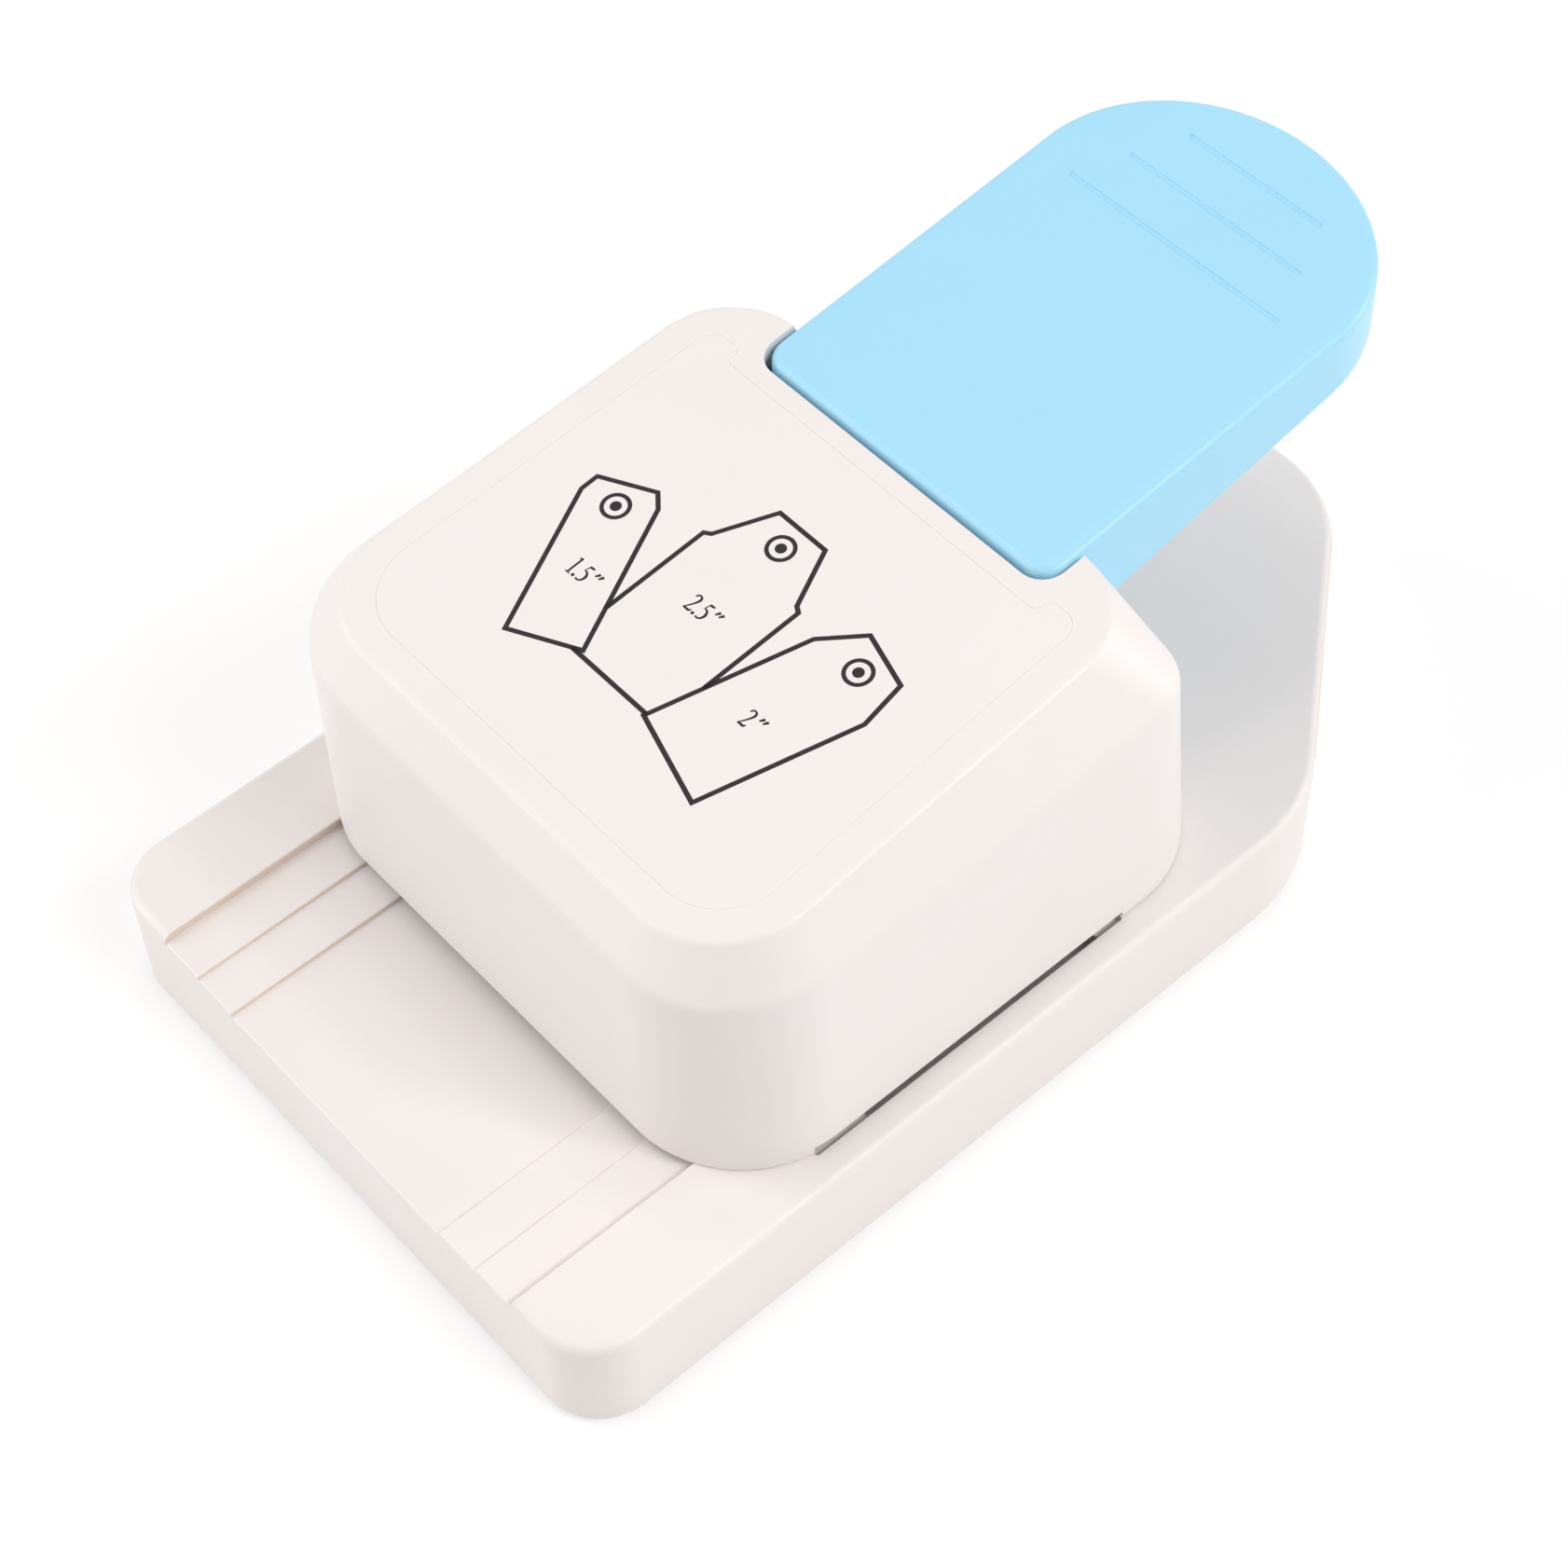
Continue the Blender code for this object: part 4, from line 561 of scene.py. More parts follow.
class Finish:
    """A node material that is built up from textures in the object's own metres."""

    def __init__(self, name):
        self.material = bpy.data.materials.new(name)
        self.material.use_nodes = True
        self.tree = self.material.node_tree
        self.shader = self.tree.nodes["Principled BSDF"]
        self.place = self.tree.nodes.new("ShaderNodeTexCoord").outputs["Object"]
        self.normal = None

    def node(self, kind, links=(), **values):
        """A node with its settings, input values and links from other nodes' outputs."""
        made = self.tree.nodes.new(kind)
        for name, value in values.items():
            setattr(made, name, value)
        for key, source in dict(links).items():
            if isinstance(source, bpy.types.NodeSocket):
                self.tree.links.new(source, made.inputs[key])
            else:
                made.inputs[key].default_value = source
        return made

    def noise(self, size, detail, stretch=(1, 1, 1)):
        """Noise whose features are about a size in metres, or longer along an axis."""
        place = self.node("ShaderNodeMapping", {"Vector": self.place, "Scale": stretch}).outputs[0]
        links = {"Vector": place, "Scale": 1 / size, "Detail": detail, "Roughness": NOISE_ROUGHNESS}
        return self.node("ShaderNodeTexNoise", links).outputs["Fac"]

    def spread(self, source, low, high):
        """A noise's middle range stretched between two values."""
        links = {"Value": source, "From Min": NOISE_LOW, "From Max": NOISE_HIGH}
        links |= {"To Min": low, "To Max": high}
        return self.node("ShaderNodeMapRange", links).outputs[0]

    def colour(self, source, first, second):
        """A blend of two colours that follows a noise."""
        links = {0: self.spread(source, 0, 1), 6: (*first, 1), 7: (*second, 1)}
        mix = self.node("ShaderNodeMix", links, data_type="RGBA")
        self.tree.links.new(mix.outputs[2], self.shader.inputs["Base Color"])

    def rough(self, source, low, high):
        """A roughness that follows a noise."""
        self.tree.links.new(self.spread(source, low, high), self.shader.inputs["Roughness"])

    def bump(self, source, depth, strength):
        """A bump layer of a depth in metres over the ones before it."""
        links = {"Height": source, "Distance": depth, "Strength": strength}
        if self.normal:
            links["Normal"] = self.normal
        self.normal = self.node("ShaderNodeBump", links).outputs[0]
        self.tree.links.new(self.normal, self.shader.inputs["Normal"])

    def set(self, **values):
        """Values on the shader's own sockets, written with underscores for spaces."""
        for name, value in values.items():
            self.shader.inputs[name.replace("_", " ")].default_value = value
        return self.material


def shade(colour, factor):
    return tuple(channel * factor for channel in colour)


def moulded_plastic(name, colours, roughness, grain):
    """Satin moulded plastic: a fine eroded grain, a soft flow mottle and a slight drift in gloss."""
    made = Finish(name)
    made.colour(made.noise(size=0.022, detail=3), *colours)
    made.rough(made.noise(size=0.006, detail=3), *roughness)
    made.bump(made.noise(size=0.009, detail=1), depth=0.00004, strength=0.12)
    made.bump(made.noise(size=grain, detail=2), depth=0.00001, strength=0.35)
    return made.set(Specular_IOR_Level=0.5, IOR=1.5)


def ground_steel(name, colour, along):
    """Ground steel: long fine scratches on one axis over a soft drift in tone."""
    made = Finish(name)
    scratches = made.noise(size=SCRATCH_GRAIN, detail=3, stretch=along)
    made.colour(made.noise(size=0.012, detail=2), colour, shade(colour, factor=0.82))
    made.rough(scratches, *STEEL_ROUGHNESS)
    made.bump(scratches, depth=0.000006, strength=0.4)
    return made.set(Metallic=1)


def cast_metal(name, colour):
    """Die-cast zinc: a dull skin with flow marks and small pits."""
    made = Finish(name)
    made.colour(made.noise(size=0.008, detail=4), colour, shade(colour, factor=0.78))
    made.rough(made.noise(size=0.003, detail=3), *ZINC_ROUGHNESS)
    made.bump(made.noise(size=0.004, detail=3), depth=0.00004, strength=0.3)
    made.bump(made.noise(size=0.0005, detail=2), depth=0.00001, strength=0.4)
    return made.set(Metallic=1)


def soft_rubber(name, colour):
    """Matte rubber with a fine dry grain."""
    made = Finish(name)
    made.colour(made.noise(size=0.003, detail=3), colour, shade(colour, factor=1.5))
    made.rough(made.noise(size=0.0015, detail=2), *RUBBER_ROUGHNESS)
    made.bump(made.noise(size=0.0006, detail=3), depth=0.00002, strength=0.5)
    return made.set(Specular_IOR_Level=0.3)


def print_ink(name, colour):
    """Screen ink: near black, a little thinner here and there."""
    made = Finish(name)
    made.colour(made.noise(size=0.0012, detail=3), colour, shade(colour, factor=1.35))
    made.rough(made.noise(size=0.0008, detail=2), *INK_ROUGHNESS)
    made.bump(made.noise(size=0.0004, detail=2), depth=0.000004, strength=0.3)
    return made.set(Specular_IOR_Level=0.25)


# Base

def base_corners():
    """Plan of the base: a rectangle in front, drawn in to a short edge at the rear."""
    shoulder = BASE_HIGH.y - BASE_TAPER_LENGTH
    tail = BASE_TAIL_WIDTH / 2
    return [(-BASE_HALF, BASE_LOW.y, BASE_FRONT_RADIUS), (BASE_HALF, BASE_LOW.y, BASE_FRONT_RADIUS),
            (BASE_HALF, shoulder, BASE_SHOULDER_RADIUS), (tail, BASE_HIGH.y, BASE_TAIL_RADIUS),
            (-tail, BASE_HIGH.y, BASE_TAIL_RADIUS), (-BASE_HALF, shoulder, BASE_SHOULDER_RADIUS)]


def channel_profile(sink):
    """Cross-section of the stepped paper channel with rounded crests and roots, sunk by a distance."""
    brim = BASE_TOP + CLEAR
    reach = CHANNEL_WIDTHS[0] / 2 + CHANNEL_CREST + EDGE
    outline = [(reach, brim + OVERRUN, 0), (reach, brim, 0)]
    above = brim
    for width, depth in zip(CHANNEL_WIDTHS, CHANNEL_DEPTHS):
        outline += [(width / 2, above, CHANNEL_CREST), (width / 2, BASE_TOP - depth, CHANNEL_ROOT)]
        above = BASE_TOP - depth
    outline = [*outline, *mirrored(outline)]
    return [(x, z - sink if z < brim - CLEAR / 2 else z) for x, z in rounded(outline, SMALL_STEPS)]


def paper_channel():
    """Cutter of the channel, whose floor rolls over the base's front edge."""
    front = [(BASE_LOW.y - OVERRUN, EDGE)]
    front += [(BASE_LOW.y + EDGE * inset, EDGE * drop) for inset, drop in quarter()]
    rows = [*front, (PLATE_LOW.y + OVERRUN, 0)]
    return loft("channel", [[Vector((x, y, z)) for x, z in channel_profile(sink)] for y, sink in rows])


def plate_corners():
    """Plan that the steel plates share under the head."""
    front = HEAD_CORNER_RADIUS - (HEAD_HALF - PLATE_HIGH.x)
    rear = COVER_CORNER_RADIUS
    return [(PLATE_LOW.x, PLATE_LOW.y, front), (PLATE_HIGH.x, PLATE_LOW.y, front),
            (PLATE_HIGH.x, PLATE_HIGH.y, rear), (PLATE_LOW.x, PLATE_HIGH.y, rear)]


def side_wells():
    """Stepped slots in the base under the head's side slits: deep beside the punches."""
    punch_low, punch_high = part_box("corner_punch_right")
    made = []
    for side in (-1, 1):
        span = sorted((side * PLATE_HIGH.x, side * (HEAD_HALF + WELL_REACH)))
        ends = box_corners(*span, SLIT_FRONT, SLIT_REAR, EDGE)
        deep = box_corners(*span, punch_low.y, punch_high.y)
        made.append(prism(f"well_{side}", ends, BASE_TOP - WELL_STEP, BASE_TOP + OVERRUN, SMALL_STEPS))
        made.append(prism(f"deep_{side}", deep, BASE_TOP - WELL_DEPTH, BASE_TOP + OVERRUN))
    return made


def paint_shade_on_channel_walls(base, finish):
    """Painted shade: a deeper, warmer colour on the upright step walls of the channel, in place of the
    shade and warm bounced light in their corners.
    """
    base.data.materials.append(finish)
    half = CHANNEL_WIDTHS[0] / 2 + CHANNEL_CREST
    bottom = BASE_TOP - CHANNEL_DEPTHS[-1]
    for face in base.data.polygons:
        upright = abs(face.normal.x) > CHANNEL_WALL_TILT
        if upright and abs(face.center.x) < half and face.center.z > bottom:
            face.material_index = 1


def make_base(finish, wall_shade_finish):
    """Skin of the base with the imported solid's ribs and bosses below."""
    rings = eased_rings(base_corners(), BASE_LOW.z, BASE_TOP, EDGE, BASE_EDGE_RADIUS, EDGE_STEPS)
    base = loft("base_body", rings)
    floor = BASE_TOP - RECESS_DEPTH
    core = prism("base_core", offset(base_corners(), -SKIN), BASE_LOW.z - OVERRUN, floor + EDGE)
    recess = prism("recess", offset(plate_corners(), RECESS_MARGIN), floor + EDGE / 2, BASE_TOP + OVERRUN)
    carve(base, "DIFFERENCE", [hollows("base_shell", core), recess, paper_channel(), *side_wells()])
    dress(base, finish, "base", "base_shell", slot="warm_white_plastic")
    # Paints shade on the channel's step walls with a darker, warmer material
    paint_shade_on_channel_walls(base, wall_shade_finish)


# Head cover

def head_corners(insets, radii, taper=0.0):
    """Plan of the head at one level, from its insets (front, side, rear) and radii (front, rear)."""
    half = HEAD_HALF - insets[1]
    front = HEAD_FRONT + insets[0]
    rear = HEAD_REAR - insets[2]
    return [(-half, front, radii[0]), (half, front, radii[0]), (half - taper, rear, radii[1]),
            (taper - half, rear, radii[1])]


def head_levels(growth=0.0):
    """Plans of the head's foot, fold and top, grown by a distance."""
    fold_insets = (HEAD_FRONT_DRAFT, HEAD_DRAFT, HEAD_REAR_LEAN)
    bevels = (HEAD_BEVEL_FRONT, HEAD_BEVEL_SIDE, HEAD_BEVEL_REAR)
    top_insets = [inset + bevel for inset, bevel in zip(fold_insets, bevels)]
    foot = head_corners((0, 0, 0), (HEAD_CORNER_RADIUS, HEAD_CORNER_RADIUS))
    fold = head_corners(fold_insets, (HEAD_CORNER_RADIUS, HEAD_FOLD_REAR_RADIUS))
    top = head_corners(top_insets, (HEAD_TOP_CORNER_RADIUS, HEAD_TOP_REAR_RADIUS), HEAD_TOP_TAPER)
    return [offset(plan, growth) for plan in (foot, fold, top)]


def head_rings():
    """Rings of the head's skin from its foot to its lid."""
    foot_plan, fold_plan, top_plan = head_levels()
    foot = ring(rounded(foot_plan), head_foot)
    fold = ring(rounded(fold_plan), head_fold)
    top = ring(rounded(top_plan), head_top)
    lid = ring(rounded(offset(top_plan, -HEAD_EDGE_REACH - SKIN)), head_top)
    inner = ring(rounded(offset(foot_plan, -EDGE)), head_foot)
    hem = softened(inner, foot, fold, EDGE, SMALL_STEPS)
    bend = softened(foot, fold, top, HEAD_FOLD_REACH)
    edge = softened(fold, top, lid, HEAD_EDGE_REACH)
    return [inner, *hem, *between(hem[-1], bend[0]), *bend, *edge, lid]


def head_core():
    """Body just inside the head's skin."""
    heights = (level(HEAD_LOW.z - OVERRUN), level(head_fold, -SKIN / 2), level(head_top, -SKIN))
    rings = [ring(rounded(plan), height) for plan, height in zip(head_levels(-SKIN), heights)]
    return loft("head_core", rings)


def notch_cutter():
    """Cutter of the lever's notch, flared where it meets the head's top."""
    rear = HEAD_REAR + OVERRUN
    plan = [(-NOTCH_HALF, NOTCH_FRONT, LEVER_CORNER_RADIUS), (NOTCH_HALF, NOTCH_FRONT, LEVER_CORNER_RADIUS),
            (NOTCH_HALF, rear, 0), (-NOTCH_HALF, rear, 0)]

    def rim(growth):
        return rounded(offset(plan, growth))

    rings = [ring(rim(0), level(NOTCH_FLOOR))]
    rings += [ring(rim(EDGE * inset), level(head_top, CLEAR - EDGE * drop)) for inset, drop in quarter()]
    rings.append(ring(rim(EDGE), level(head_top, OVERRUN)))
    return loft("notch", rings)


def panel_corners():
    """Plan of the label panel: it follows the head's top and passes the notch with two ears."""
    front_half = PANEL_HIGH.x
    rear_half = front_half - HEAD_TOP_TAPER
    rear = NOTCH_FRONT - PANEL_NOTCH_MARGIN
    ear = rear + PANEL_EAR_LENGTH
    step = NOTCH_HALF + PANEL_EAR_MARGIN
    outer = (rear_half - step) / 2
    return [(-front_half, PANEL_LOW.y, PANEL_CORNER_RADIUS), (front_half, PANEL_LOW.y, PANEL_CORNER_RADIUS),
            (rear_half, ear, outer), (step, ear, PANEL_EAR_RADIUS), (step, rear, PANEL_EAR_RADIUS),
            (-step, rear, PANEL_EAR_RADIUS), (-step, ear, PANEL_EAR_RADIUS), (-rear_half, ear, outer)]


def panel_rings(growth, flare, depth, lift):
    """Rings of the panel, or of its recess where the edge flares outwards."""
    rings = [ring(rounded(offset(panel_corners(), growth)), level(head_top, -depth))]
    for inset, drop in quarter():
        points = rounded(offset(panel_corners(), growth + flare * inset))
        rings.append(ring(points, level(head_top, lift - abs(flare) * drop)))
    return rings


def panel_recess():
    """Cutter of the recess that holds the panel."""
    rings = panel_rings(PANEL_GAP, PANEL_EDGE, PANEL_DEPTH, CLEAR)
    brim = rounded(offset(panel_corners(), PANEL_GAP + PANEL_EDGE))
    return loft("panel_recess", [*rings, ring(brim, level(head_top, OVERRUN))])


def side_slits():
    """Cutter of the low slits along the head's sides."""
    plan = box_corners(-BASE_HALF, BASE_HALF, SLIT_FRONT, SLIT_REAR)
    return prism("slits", plan, BASE_TOP - OVERRUN, BASE_TOP + SLIT_HEIGHT)


def make_head(finish):
    head = loft("head_body", head_rings())
    cutters = [hollows("head_cover", head_core()), notch_cutter(), side_slits(), panel_recess()]
    carve(head, "DIFFERENCE", cutters)
    dress(head, finish, "base", "head_cover", slot="warm_white_plastic")


def make_panel(finish):
    panel = loft("panel_inlay", panel_rings(0, -PANEL_EDGE, PANEL_DEPTH - PANEL_GAP, 0))
    dress(panel, finish, "base", "label_panel", slot="label_film")


# Printed size diagram

def tag_corners(width, jogged):
    """Outline of one label, end up, from the middle of its end."""
    half = width * PRINT_SCALE / 2
    across, along = TAG_JOG if jogged else (0, 0)
    end = TAG_END_WIDTH / 2
    cut = (half - across - end) / TAG_CUT_SLOPE
    right = [(half, -cut - along - TAG_SIDE_LENGTH), (half, -cut - along)]
    if jogged:
        right.append((half - across, -cut))
    right.append((end, 0))
    return [*right, *[(-x, y) for x, y in reversed(right)]]


def placed(points, place, angle):
    """Points of a tag turned about its end and put on the panel's plan."""
    turn = Matrix.Rotation(angle, 2)
    return [Vector(place) + turn @ Vector(point) for point in points]


def inside(point, polygon):
    crossings = 0
    for first, second in zip(polygon, [*polygon[1:], polygon[0]]):
        if (first.y > point.y) != (second.y > point.y):
            x = first.x + (point.y - first.y) * (second.x - first.x) / (second.y - first.y)
            crossings += x > point.x
    return crossings % 2 == 1


def crossing(start, end, first, second):
    """Share of the way from start to end where the line meets another stretch, or None."""
    way, other = end - start, second - first
    scale = way.cross(other)
    if abs(scale) < PARALLEL:
        return None
    along = (first - start).cross(other) / scale
    across = (first - start).cross(way) / scale
    return along if 0 < along < 1 and 0 <= across <= 1 else None


def line_pieces(corners, covers):
    """Quads of a closed line with mitred corners, left out where other outlines cover it."""
    count = len(corners)
    sharp = [(point.x, point.y, 0) for point in corners]
    outer = [Vector(corner[:2]) for corner in offset(sharp, PRINT_LINE / 2)]
    inner = [Vector(corner[:2]) for corner in offset(sharp, -PRINT_LINE / 2)]
    quads = []
    for index in range(count):
        following = (index + 1) % count
        start, end = corners[index], corners[following]
        marks = [0, 1]
        for cover in covers:
            hits = [crossing(start, end, *pair) for pair in zip(cover, [*cover[1:], cover[0]])]
            marks += [hit for hit in hits if hit is not None]
        marks.sort()
        for low, high in zip(marks, marks[1:]):
            if any(inside(start.lerp(end, (low + high) / 2), cover) for cover in covers):
                continue
            quads.append([side[index].lerp(side[following], share)
                          for side, share in ((outer, low), (outer, high), (inner, high), (inner, low))])
    return quads


def on_panel(point, height):
    return Vector((point[0], point[1], head_top(point[1]) + height))


def add_plate(builder, outer, inner=None):
    """Adds a thin printed plate on the panel: a polygon, or the band between two rings."""
    levels = (-PRINT_PROUD, PRINT_PROUD)
    if inner is None:
        add_loft(builder, [[on_panel(point, height) for point in outer] for height in levels])
        return
    rows = [[[builder.verts.new(on_panel(point, height)) for point in line] for height in levels]
            for line in (outer, inner)]
    around = [rows[0][0], rows[0][1], rows[1][1], rows[1][0]]
    for near, far in zip(around, [*around[1:], around[0]]):
        for index in range(len(near)):
            following = (index + 1) % len(near)
            builder.faces.new((near[index], near[following], far[following], far[index]))


def circle(centre, radius):
    return [Vector((centre.x + radius * math.cos(angle), centre.y + radius * math.sin(angle)))
            for angle in full_turn(CIRCLE_STEPS)]


def ribbon(nodes):
    """Outline of a pen stroke that runs smoothly through (x, y, half width) nodes."""
    stops = [Vector(node) for node in (nodes[0], *nodes, nodes[-1])]
    line = []
    for before, start, end, after in zip(stops, stops[1:], stops[2:], stops[3:]):
        for share in (step / SMALL_STEPS for step in range(SMALL_STEPS)):
            line.append(start + (end - before) * share / 2
                        + (before * 2 - start * 5 + end * 4 - after) * share ** 2 / 2
                        + (start * 3 - before - end * 3 + after) * share ** 3 / 2)
    line.append(stops[-1])
    left, right = [], []
    for index, here in enumerate(line):
        way = (line[min(index + 1, len(line) - 1)] - line[max(index - 1, 0)]).xy.normalized()
        across = Vector((-way.y, way.x)) * here.z
        left.append(here.xy + across)
        right.append(here.xy - across)
    return left + right[::-1]


def add_figure(text, place, finish):
    """A plain printed figure with an inch mark, about a middle point on the panel."""
    starts, reach = [], 0
    for sign in text:
        starts.append(reach)
        reach += max(node[0] for stroke in FIGURE_STROKES[sign] for node in stroke) + FIGURE_GAP
    corner = Vector(((FIGURE_GAP - reach) / 2, -0.5))

    def build(builder):
        for sign, start in zip(text, starts):
            for stroke in FIGURE_STROKES[sign]:
                outline = [Vector(place) + (corner + Vector((start, 0)) + point) * FIGURE_HEIGHT
                           for point in ribbon(stroke)]
                add_plate(builder, outline)

    name = text.strip('"').replace(".", "_")
    dress(add_object(f"figure_{name}", build), finish, "base")


def make_diagram(finish):
    """Outlines of the three labels with their eyelets and widths in inches."""
    widest, middle, narrow = CHANNEL_WIDTHS
    tags = [(width, end, math.radians(angle))
            for width, end, angle in zip((narrow, middle, widest), TAG_ENDS, TAG_ANGLES)]
    outlines = [placed(tag_corners(width, width == widest), end, angle) for width, end, angle in tags]
    covers = [[], [], outlines[:2]]

    def build(builder):
        for (_, end, angle), outline, over in zip(tags, outlines, covers):
            for quad in line_pieces(outline, over):
                add_plate(builder, quad)
            eyelet = placed([(0, -EYELET_SETBACK)], end, angle)[0]
            add_plate(builder, circle(eyelet, EYELET_RADIUS + EYELET_LINE / 2),
                      circle(eyelet, EYELET_RADIUS - EYELET_LINE / 2))
            add_plate(builder, circle(eyelet, EYELET_DOT_RADIUS))

    dress(add_object("size_diagram", build), finish, "base")
    for text, place in zip(FIGURE_TEXTS, FIGURE_PLACES):
        add_figure(text, place, finish)


# Lever

def lever_outline(growth=0.0):
    """Plan of the lever: square front with round corners, and a tail that is half an ellipse."""
    half = LEVER_HALF + growth
    front = LEVER_FRONT - growth
    corner = LEVER_CORNER_RADIUS + growth
    points = []
    for centre_x, start in ((-half + corner, -math.pi), (half - corner, -math.pi / 2)):
        for step in range(CORNER_STEPS + 1):
            angle = start + math.pi / 2 * step / CORNER_STEPS
            points.append((centre_x + corner * math.cos(angle), front + corner + corner * math.sin(angle)))
    length = LEVER_TAIL_LENGTH + growth
    for step in range(CIRCLE_STEPS + 1):
        angle = math.pi * step / CIRCLE_STEPS
        points.append((half * math.cos(angle), LEVER_TAIL_Y + length * math.sin(angle)))
    return points


def lever_rings():
    """Rings of the lever's skin from its lower edge to its top."""
    inner = ring(lever_outline(LEVER_DRAFT - EDGE), skirt_bottom)
    low = ring(lever_outline(LEVER_DRAFT), skirt_bottom)
    edge = ring(lever_outline(), lever_top)
    lid = ring(lever_outline(-LEVER_BROW_REACH - EDGE), lever_top)
    hem = softened(inner, low, edge, EDGE, SMALL_STEPS)
    rim = softened(low, edge, lid, LEVER_EDGE_REACH, upper_reach=LEVER_BROW_REACH)
    return [inner, *hem, *between(hem[-1], rim[0]), *rim, lid]


def grip_grooves():
    """Shallow grooves near the tail with eased edges, each shorter than the one before it."""
    last = LEVER_TAIL_Y + LEVER_TAIL_LENGTH - GRIP_TAIL_MARGIN
    half_width = GRIP_WIDTH / 2
    made = []
    for index in range(GRIP_COUNT):
        y = last + GRIP_OFFSET - GRIP_PITCH * (GRIP_COUNT - 1 - index)
        half = (GRIP_LENGTH - GRIP_SHORTENING * index) / 2
        plan = box_corners(-half, half, y - half_width, y + half_width, half_width * GRIP_END_ROUND)
        steps = [(-GRIP_EASE * drop, GRIP_EASE * inset - GRIP_DEPTH) for inset, drop in quarter()]
        steps += [(GRIP_EASE * inset, CLEAR - GRIP_EASE * drop) for inset, drop in quarter()]
        steps.append((GRIP_EASE, OVERRUN))
        rings = [ring(rounded(offset(plan, growth), SMALL_STEPS), level(lever_top, rise))
                 for growth, rise in steps]
        made.append(loft(f"groove_{index}", rings))
    return made


def make_lever(finish):
    """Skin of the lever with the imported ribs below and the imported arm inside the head."""
    lever = loft("lever_body", lever_rings())
    core = loft("lever_core", [ring(lever_outline(LEVER_DRAFT - SKIN), level(skirt_bottom, -OVERRUN)),
                               ring(lever_outline(-SKIN), level(lever_top, -SKIN))])
    carve(lever, "DIFFERENCE", [hollows("lever", core), *grip_grooves()])
    dress(lever, finish, "lever", "lever", slot="light_blue_plastic")
    arm = solid_of("lever")
    arm.name = "lever_arm"
    room = box_corners(-BASE_HALF, BASE_HALF, BASE_LOW.y, LEVER_FRONT + SKIN)
    carve(arm, "INTERSECT", [prism("arm_room", room, 0, LEVER_HIGH.z + OVERRUN)])
    dress(arm, finish, "lever", "lever", slot="light_blue_plastic")


# Underside

def make_feet(finish):
    """Rubber feet with a rolled edge and a dished sole."""
    for side in CORNERS:
        low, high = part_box(f"foot_{side}")
        radius = (high.x - low.x) / 2
        middle = (low + high) / 2
        edge = EDGE * 2
        centre, dish, brim = (radius * share for share in FOOT_DISH_SHARES)
        profile = [(FOOT_SOLE_DIP, centre), (FOOT_SOLE_DIP, dish), (0, brim)]
        profile += [(edge * inset, radius - edge * drop) for inset, drop in quarter()]
        profile.append((high.z, radius))
        foot = turned(f"rubber_foot_{side}", profile, (middle.x, middle.y, 0), (0, 0, 1))
        dress(foot, finish, "base", f"foot_{side}", slot="rubber")


def screw_profile(radius, length):
    """(distance from the head's crown, radius) pairs of a pan-head screw with a thread."""
    profile = [(SCREW_DOME * along, radius * share) for along, share in SCREW_DOME_PROFILE]
    profile += [(SCREW_DOME + EDGE / 2, radius), (SCREW_HEAD_HEIGHT, radius)]
    profile.append((SCREW_HEAD_HEIGHT, SCREW_RADIUS))
    turns = int((length - SCREW_HEAD_HEIGHT - SCREW_RADIUS) / THREAD_PITCH)
    for turn in range(turns):
        start = SCREW_HEAD_HEIGHT + THREAD_PITCH * (turn + THREAD_START)
        profile += [(start, SCREW_RADIUS - THREAD_DEPTH), (start + THREAD_PITCH / 2, SCREW_RADIUS)]
    profile.append((length, SCREW_RADIUS * SCREW_TIP_SHARE))
    return profile


def drive_cutters(middle, crown):
    """Two crossed bars that cut the drive into a screw's crown."""
    made = []
    for number, (x, y) in enumerate(((DRIVE_LENGTH, DRIVE_WIDTH), (DRIVE_WIDTH, DRIVE_LENGTH))):
        plan = box_corners(middle.x - x / 2, middle.x + x / 2, middle.y - y / 2, middle.y + y / 2)
        made.append(prism(f"drive_{number}", plan, crown - OVERRUN, crown + DRIVE_DEPTH))
    return made


def make_screws(finish):
    """Pan-head screws with a cross recess and a thread."""
    for place in CORNERS:
        node = f"stack_screw_{place}"
        low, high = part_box(node)
        middle = (low + high) / 2
        profile = screw_profile((high.x - low.x) / 2, high.z - low.z)
        start = (middle.x, middle.y, low.z)
        screw = turned(f"screw_{place}", profile, start, (0, 0, 1), CIRCLE_STEPS // 2)
        carve(screw, "DIFFERENCE", drive_cutters(middle, low.z))
        dress(screw, finish, "base", node, slot="steel")


def joint_of(name):
    """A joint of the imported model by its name."""
    return next(joint for joint in frame["joints"] if joint["name"] == name)


def spring_rings(low, high):
    """Rings along the round wire of a coil that fills a node's box."""
    middle = (low + high) / 2
    radius = (high.y - low.y) / 2 - SPRING_WIRE
    bottom, top = low.z + SPRING_WIRE, high.z - SPRING_WIRE
    steps = SPRING_TURNS * SPRING_STEPS
    rings = []
    for step in range(steps + 1):
        angle = math.tau * step / SPRING_STEPS
        out = Vector((math.cos(angle), math.sin(angle), 0))
        centre = Vector((middle.x, middle.y, bottom + (top - bottom) * step / steps)) + out * radius
        rings.append([centre + (out * math.cos(turn) + Vector((0, 0, math.sin(turn)))) * SPRING_WIRE
                      for turn in full_turn(SPRING_ROUND)])
    return rings


def make_springs(finish):
    """Return springs of round wire, which the ram squeezes as it comes down."""
    for side in ("left", "right"):
        node = f"return_spring_{side}"
        low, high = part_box(node)
        spring = dress(loft(f"spring_{side}", spring_rings(low, high)), finish, "base", node, slot="steel")
        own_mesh(spring)


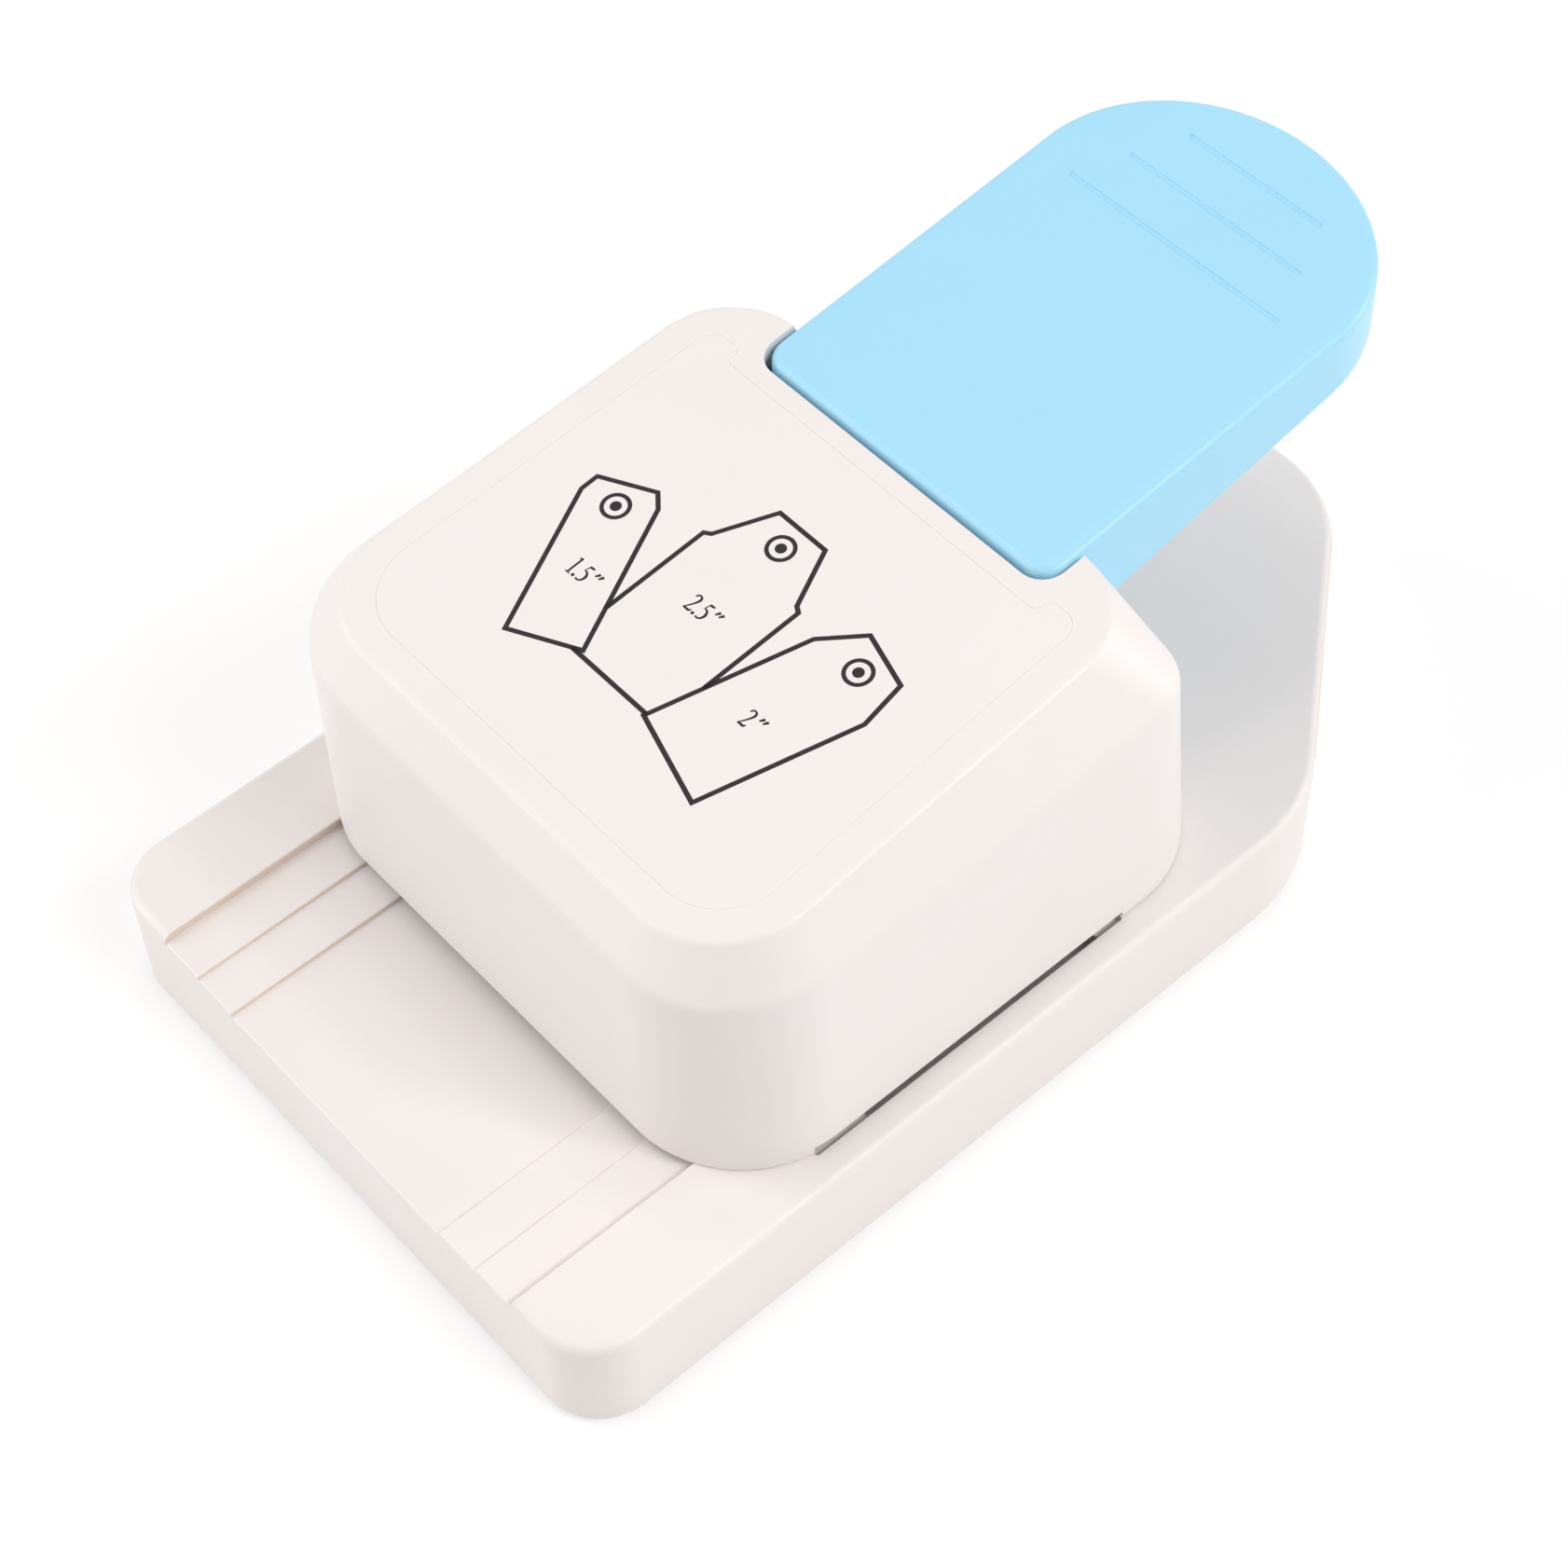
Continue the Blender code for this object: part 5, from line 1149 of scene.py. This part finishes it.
def make_waste_cover(finish):
    """Cover of the waste bay with eased edges, on its two trunnions."""
    axis = joint_of("chad_cover_swing")["pos_m"]
    half = COVER_HIGH.x - TRUNNION_LENGTH
    plan = [(-half, COVER_LOW.y, COVER_CORNER_RADIUS), (half, COVER_LOW.y, COVER_CORNER_RADIUS),
            (half, axis[1], 0), (-half, axis[1], 0)]
    cover = loft("waste_cover", eased_rings(plan, COVER_LOW.z, COVER_HIGH.z, COVER_EDGE, COVER_EDGE))
    ends = [(x, axis[1], axis[2]) for x in (COVER_LOW.x, COVER_HIGH.x)]
    carve(cover, "UNION", [rod("trunnions", TRUNNION_RADIUS, *ends)])
    dress(cover, finish, "chad_cover", "chad_cover", slot="warm_white_plastic")


# Stage, light and camera

def new_tree(owner):
    """The emptied node tree of a material or a world."""
    owner.use_nodes = True
    owner.node_tree.nodes.clear()
    return owner.node_tree


def shader_node(tree, kind, **values):
    """The output of a shader node with values on its sockets."""
    made = tree.nodes.new(kind)
    for name, value in values.items():
        made.inputs[name].default_value = value
    return made.outputs[0]


def seen_directly(tree):
    """1 for camera, glossy and transmission rays, and 0 for light that only bounces."""
    path = tree.nodes.new("ShaderNodeLightPath")
    value = path.outputs["Is Camera Ray"]
    for name in ("Is Glossy Ray", "Is Transmission Ray"):
        either = tree.nodes.new("ShaderNodeMath")
        either.operation = "MAXIMUM"
        tree.links.new(value, either.inputs[0])
        tree.links.new(path.outputs[name], either.inputs[1])
        value = either.outputs[0]
    return value


def split_by_ray(tree, kind, bounced, seen):
    """Sends one shader to light that bounces and another to rays that see the surface."""
    mix = tree.nodes.new("ShaderNodeMixShader")
    for index, source in enumerate((seen_directly(tree), bounced, seen)):
        tree.links.new(source, mix.inputs[index])
    output = tree.nodes.new(kind)
    tree.links.new(mix.outputs[0], output.inputs["Surface"])


def white_floor():
    """Pale floor: it keeps the shadow, and the camera sees it as white as the backdrop."""
    made = bpy.data.materials.new("pale_floor")
    tree = new_tree(made)
    plain = shader_node(tree, "ShaderNodeBsdfDiffuse", Color=FLOOR_COLOUR)
    dimmed = shader_node(tree, "ShaderNodeBsdfDiffuse", Color=FLOOR_SEEN_COLOUR)
    glow = shader_node(tree, "ShaderNodeEmission", Strength=FLOOR_GLOW)
    added = tree.nodes.new("ShaderNodeAddShader")
    tree.links.new(dimmed, added.inputs[0])
    tree.links.new(glow, added.inputs[1])
    split_by_ray(tree, "ShaderNodeOutputMaterial", plain, added.outputs[0])
    return made


def make_floor():
    half = FLOOR_HALF
    corners = rounded(box_corners(-half, half, -half, half, half / 2))
    floor = add_object("floor", lambda builder: builder.faces.new(
        [builder.verts.new((point.x, point.y, 0)) for point in corners]))
    floor.data.materials.append(white_floor())


def make_world():
    """White where it is seen, and a soft even light everywhere."""
    world = bpy.data.worlds.new("studio")
    bpy.context.scene.world = world
    tree = new_tree(world)
    light = shader_node(tree, "ShaderNodeBackground", Strength=WORLD_STRENGTH, Color=WORLD_COLOUR)
    white = shader_node(tree, "ShaderNodeBackground", Color=WORLD_SEEN_COLOUR)
    split_by_ray(tree, "ShaderNodeOutputWorld", light, white)


def softbox(name, azimuth, elevation, size, power, colour=(1, 1, 1)):
    """A square lamp that faces the object; azimuth 0 stands in front and 90 to the right."""
    across, up = math.radians(azimuth), math.radians(elevation)
    centre = (CAD_BOX[0] + CAD_BOX[1]) / 2
    way = Vector((math.sin(across) * math.cos(up), -math.cos(across) * math.cos(up), math.sin(up)))
    data = bpy.data.lights.new(name, "AREA")
    data.shape = "SQUARE"
    data.size = size
    data.energy = power
    data.color = colour
    lamp = bpy.data.objects.new(name, data)
    lamp.location = centre + way * LAMP_DISTANCE
    lamp.rotation_euler = way.to_track_quat("Z", "Y").to_euler()
    bpy.context.scene.collection.objects.link(lamp)


def make_camera():
    forward = Vector(CAMERA_FORWARD).normalized()
    right = Vector(CAMERA_RIGHT)
    right = (right - forward * right.dot(forward)).normalized()
    up = right.cross(forward)
    data = bpy.data.cameras.new("camera")
    data.lens = CAMERA_LENS
    data.sensor_width = SENSOR
    data.sensor_fit = "HORIZONTAL"
    data.clip_start, data.clip_end = CAMERA_CLIP
    turn = Matrix((right, up, -forward)).transposed().to_4x4()
    camera = bpy.data.objects.new("camera", data)
    camera.matrix_world = Matrix.Translation(CAMERA_PLACE) @ turn
    bpy.context.scene.collection.objects.link(camera)
    bpy.context.scene.camera = camera


def finish_nodes(finishes):
    """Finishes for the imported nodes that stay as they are."""
    for finish, nodes in finishes.items():
        for node in nodes:
            piece = frame["nodes"][node]
            piece.data.materials.clear()
            piece.data.materials.append(finish)


def main():
    white = moulded_plastic("warm_white_plastic", BASE_WHITE, SATIN_ROUGHNESS, FINE_GRAIN)
    cover = moulded_plastic("cover_white_plastic", HEAD_WHITE, SATIN_ROUGHNESS, FINE_GRAIN)
    # Painted shade for the channel's step walls: a darker, warmer colour in place of the shade in their
    # corners
    tan = moulded_plastic("channel_wall_painted_shade", WALL_PAINTED_SHADE, SATIN_ROUGHNESS, FINE_GRAIN)
    film = moulded_plastic("label_film", FILM_WHITE, FILM_ROUGHNESS, FILM_GRAIN)
    blue = moulded_plastic("light_blue_plastic", LEVER_BLUE, LEVER_ROUGHNESS, FINE_GRAIN)
    nylon = moulded_plastic("grey_nylon", NYLON_GREY, NYLON_ROUGHNESS, NYLON_GRAIN)
    steel = ground_steel("steel", STEEL_GREY, GROUND_ALONG_Y)
    dark_steel = ground_steel("oiled_steel", OILED_STEEL, GROUND_ALONG_X)
    zinc = cast_metal("die_cast_zinc", ZINC_GREY)
    rubber = soft_rubber("rubber", RUBBER_BLACK)
    ink = print_ink("print_ink", INK_BLACK)
    finish_nodes({
        steel: ["die_plate", "corner_punch_left", "corner_punch_right", "hole_punch", "guide_post_left",
                "guide_post_right", "hinge_pin", "hinge_clip"],
        dark_steel: ["stripper_plate"],
        zinc: ["ram"],
        nylon: ["guide_frame", "paper_guide"],
    })
    make_base(white, tan)
    make_head(cover)
    make_panel(film)
    make_diagram(ink)
    make_lever(blue)
    make_feet(rubber)
    make_screws(steel)
    make_springs(steel)
    make_waste_cover(white)
    make_floor()
    make_world()
    for lamp in LAMPS:
        softbox(*lamp)
    make_camera()
    bpy.context.scene.view_settings.view_transform = "Standard"


main()
